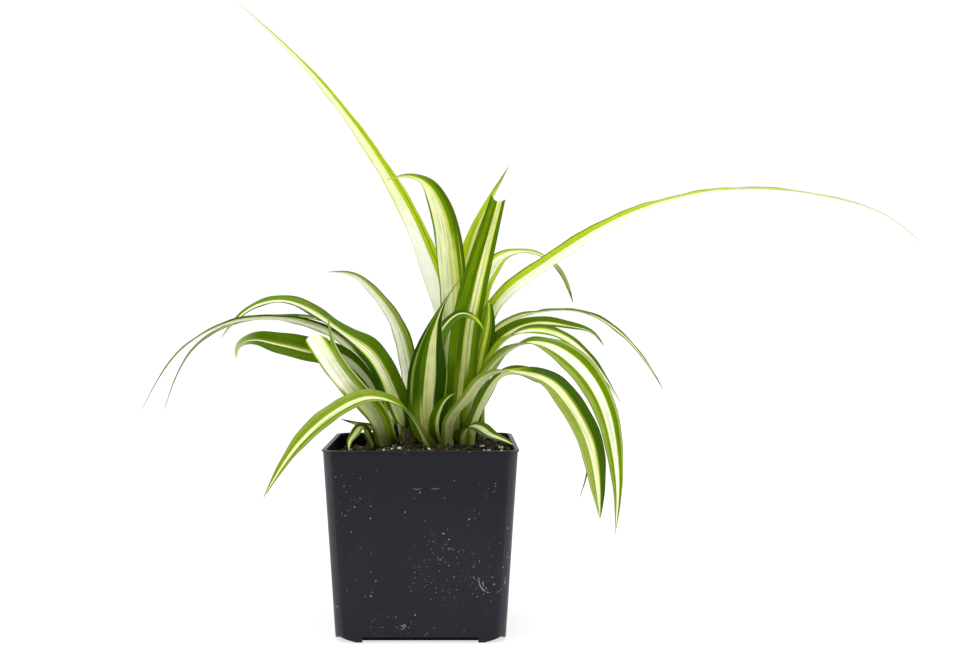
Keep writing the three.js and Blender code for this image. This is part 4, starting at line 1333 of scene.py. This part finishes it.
CAMERA_PLACE = (0.0164, -0.664, 0.1612)
CAMERA_LENS = 47.55
CAMERA_SHIFT = (0.0301, -0.0145)
LIGHTS = {
    "overhead": dict(place=(0.1, 0.0, 1.4), target=(0.0, 0.0, 0.15), size=1.2, power=5.0),
    "left_box": dict(place=(-1.3, -0.45, 0.45), target=(0.0, 0.0, 0.12), size=0.8, power=7.0),
    "right_box": dict(place=(1.3, -0.45, 0.45), target=(0.0, 0.0, 0.12), size=0.8, power=6.0),
}
FLOOR_HALF = 6000.0
FLOOR_DROP = 0.3
WHITE = (1, 1, 1, 1)


def make_floor():
    corners = ((-1, -1), (1, -1), (1, 1), (-1, 1))
    points = [(x * FLOOR_HALF, y * FLOOR_HALF, -FLOOR_DROP) for x, y in corners]
    mesh = new_mesh("floor", points, [(0, 1, 2, 3)])
    s = Shader("white_floor")
    mesh.materials.append(
        s.finish((0.45, 0.45, 0.45, 1), 0.9, 0.0, Emission_Color=WHITE, Emission_Strength=0.66)
    )
    floor = new_object("floor", mesh)


def make_world():
    """Even white light from all round, a little dimmer from the viewer's side."""
    world = bpy.data.worlds.new("studio")
    bpy.context.scene.world = world
    n = Nodes(world)
    _, y, _ = n.parts(n.node("TexCoord").outputs["Generated"])
    n.feed(n.nodes["Background"], {"Color": WHITE, "Strength": n.ranged(y, -0.95, -0.25, 0.7, 1.02)})


def add_light(name, place, target, size, power):
    lamp = bpy.data.lights.new(name, "AREA")
    lamp.shape = "SQUARE"
    lamp.size = size
    lamp.energy = power
    made = new_object(name, lamp)
    made.location = place
    made.rotation_euler = (Vector(target) - Vector(place)).to_track_quat("-Z", "Y").to_euler()


def make_camera():
    data = bpy.data.cameras.new("camera")
    data.lens = CAMERA_LENS
    data.shift_x, data.shift_y = CAMERA_SHIFT
    data.clip_start, data.clip_end = 0.05, 50
    camera = new_object("camera", data)
    camera.location = CAMERA_PLACE
    camera.rotation_euler = (math.pi / 2, 0, 0)
    bpy.context.scene.camera = camera


# ---- the assembly ----

make_camera()
make_world()
make_floor()
for name, light in LIGHTS.items():
    add_light(name, **light)

make_pot()
make_soil()
make_crumbs()
make_sheaths_and_shade_fill()
stem = crown_material()
for number, (name, (x, y)) in enumerate(CROWNS.items()):
    make_crown(name, x, y, stem, 40 + number)
for number, (name, leaf) in enumerate(LEAVES.items()):
    blade(name, leaf, 100 + number)

bpy.context.scene.view_settings.view_transform = "Standard"
bpy.context.scene.view_settings.look = "None"
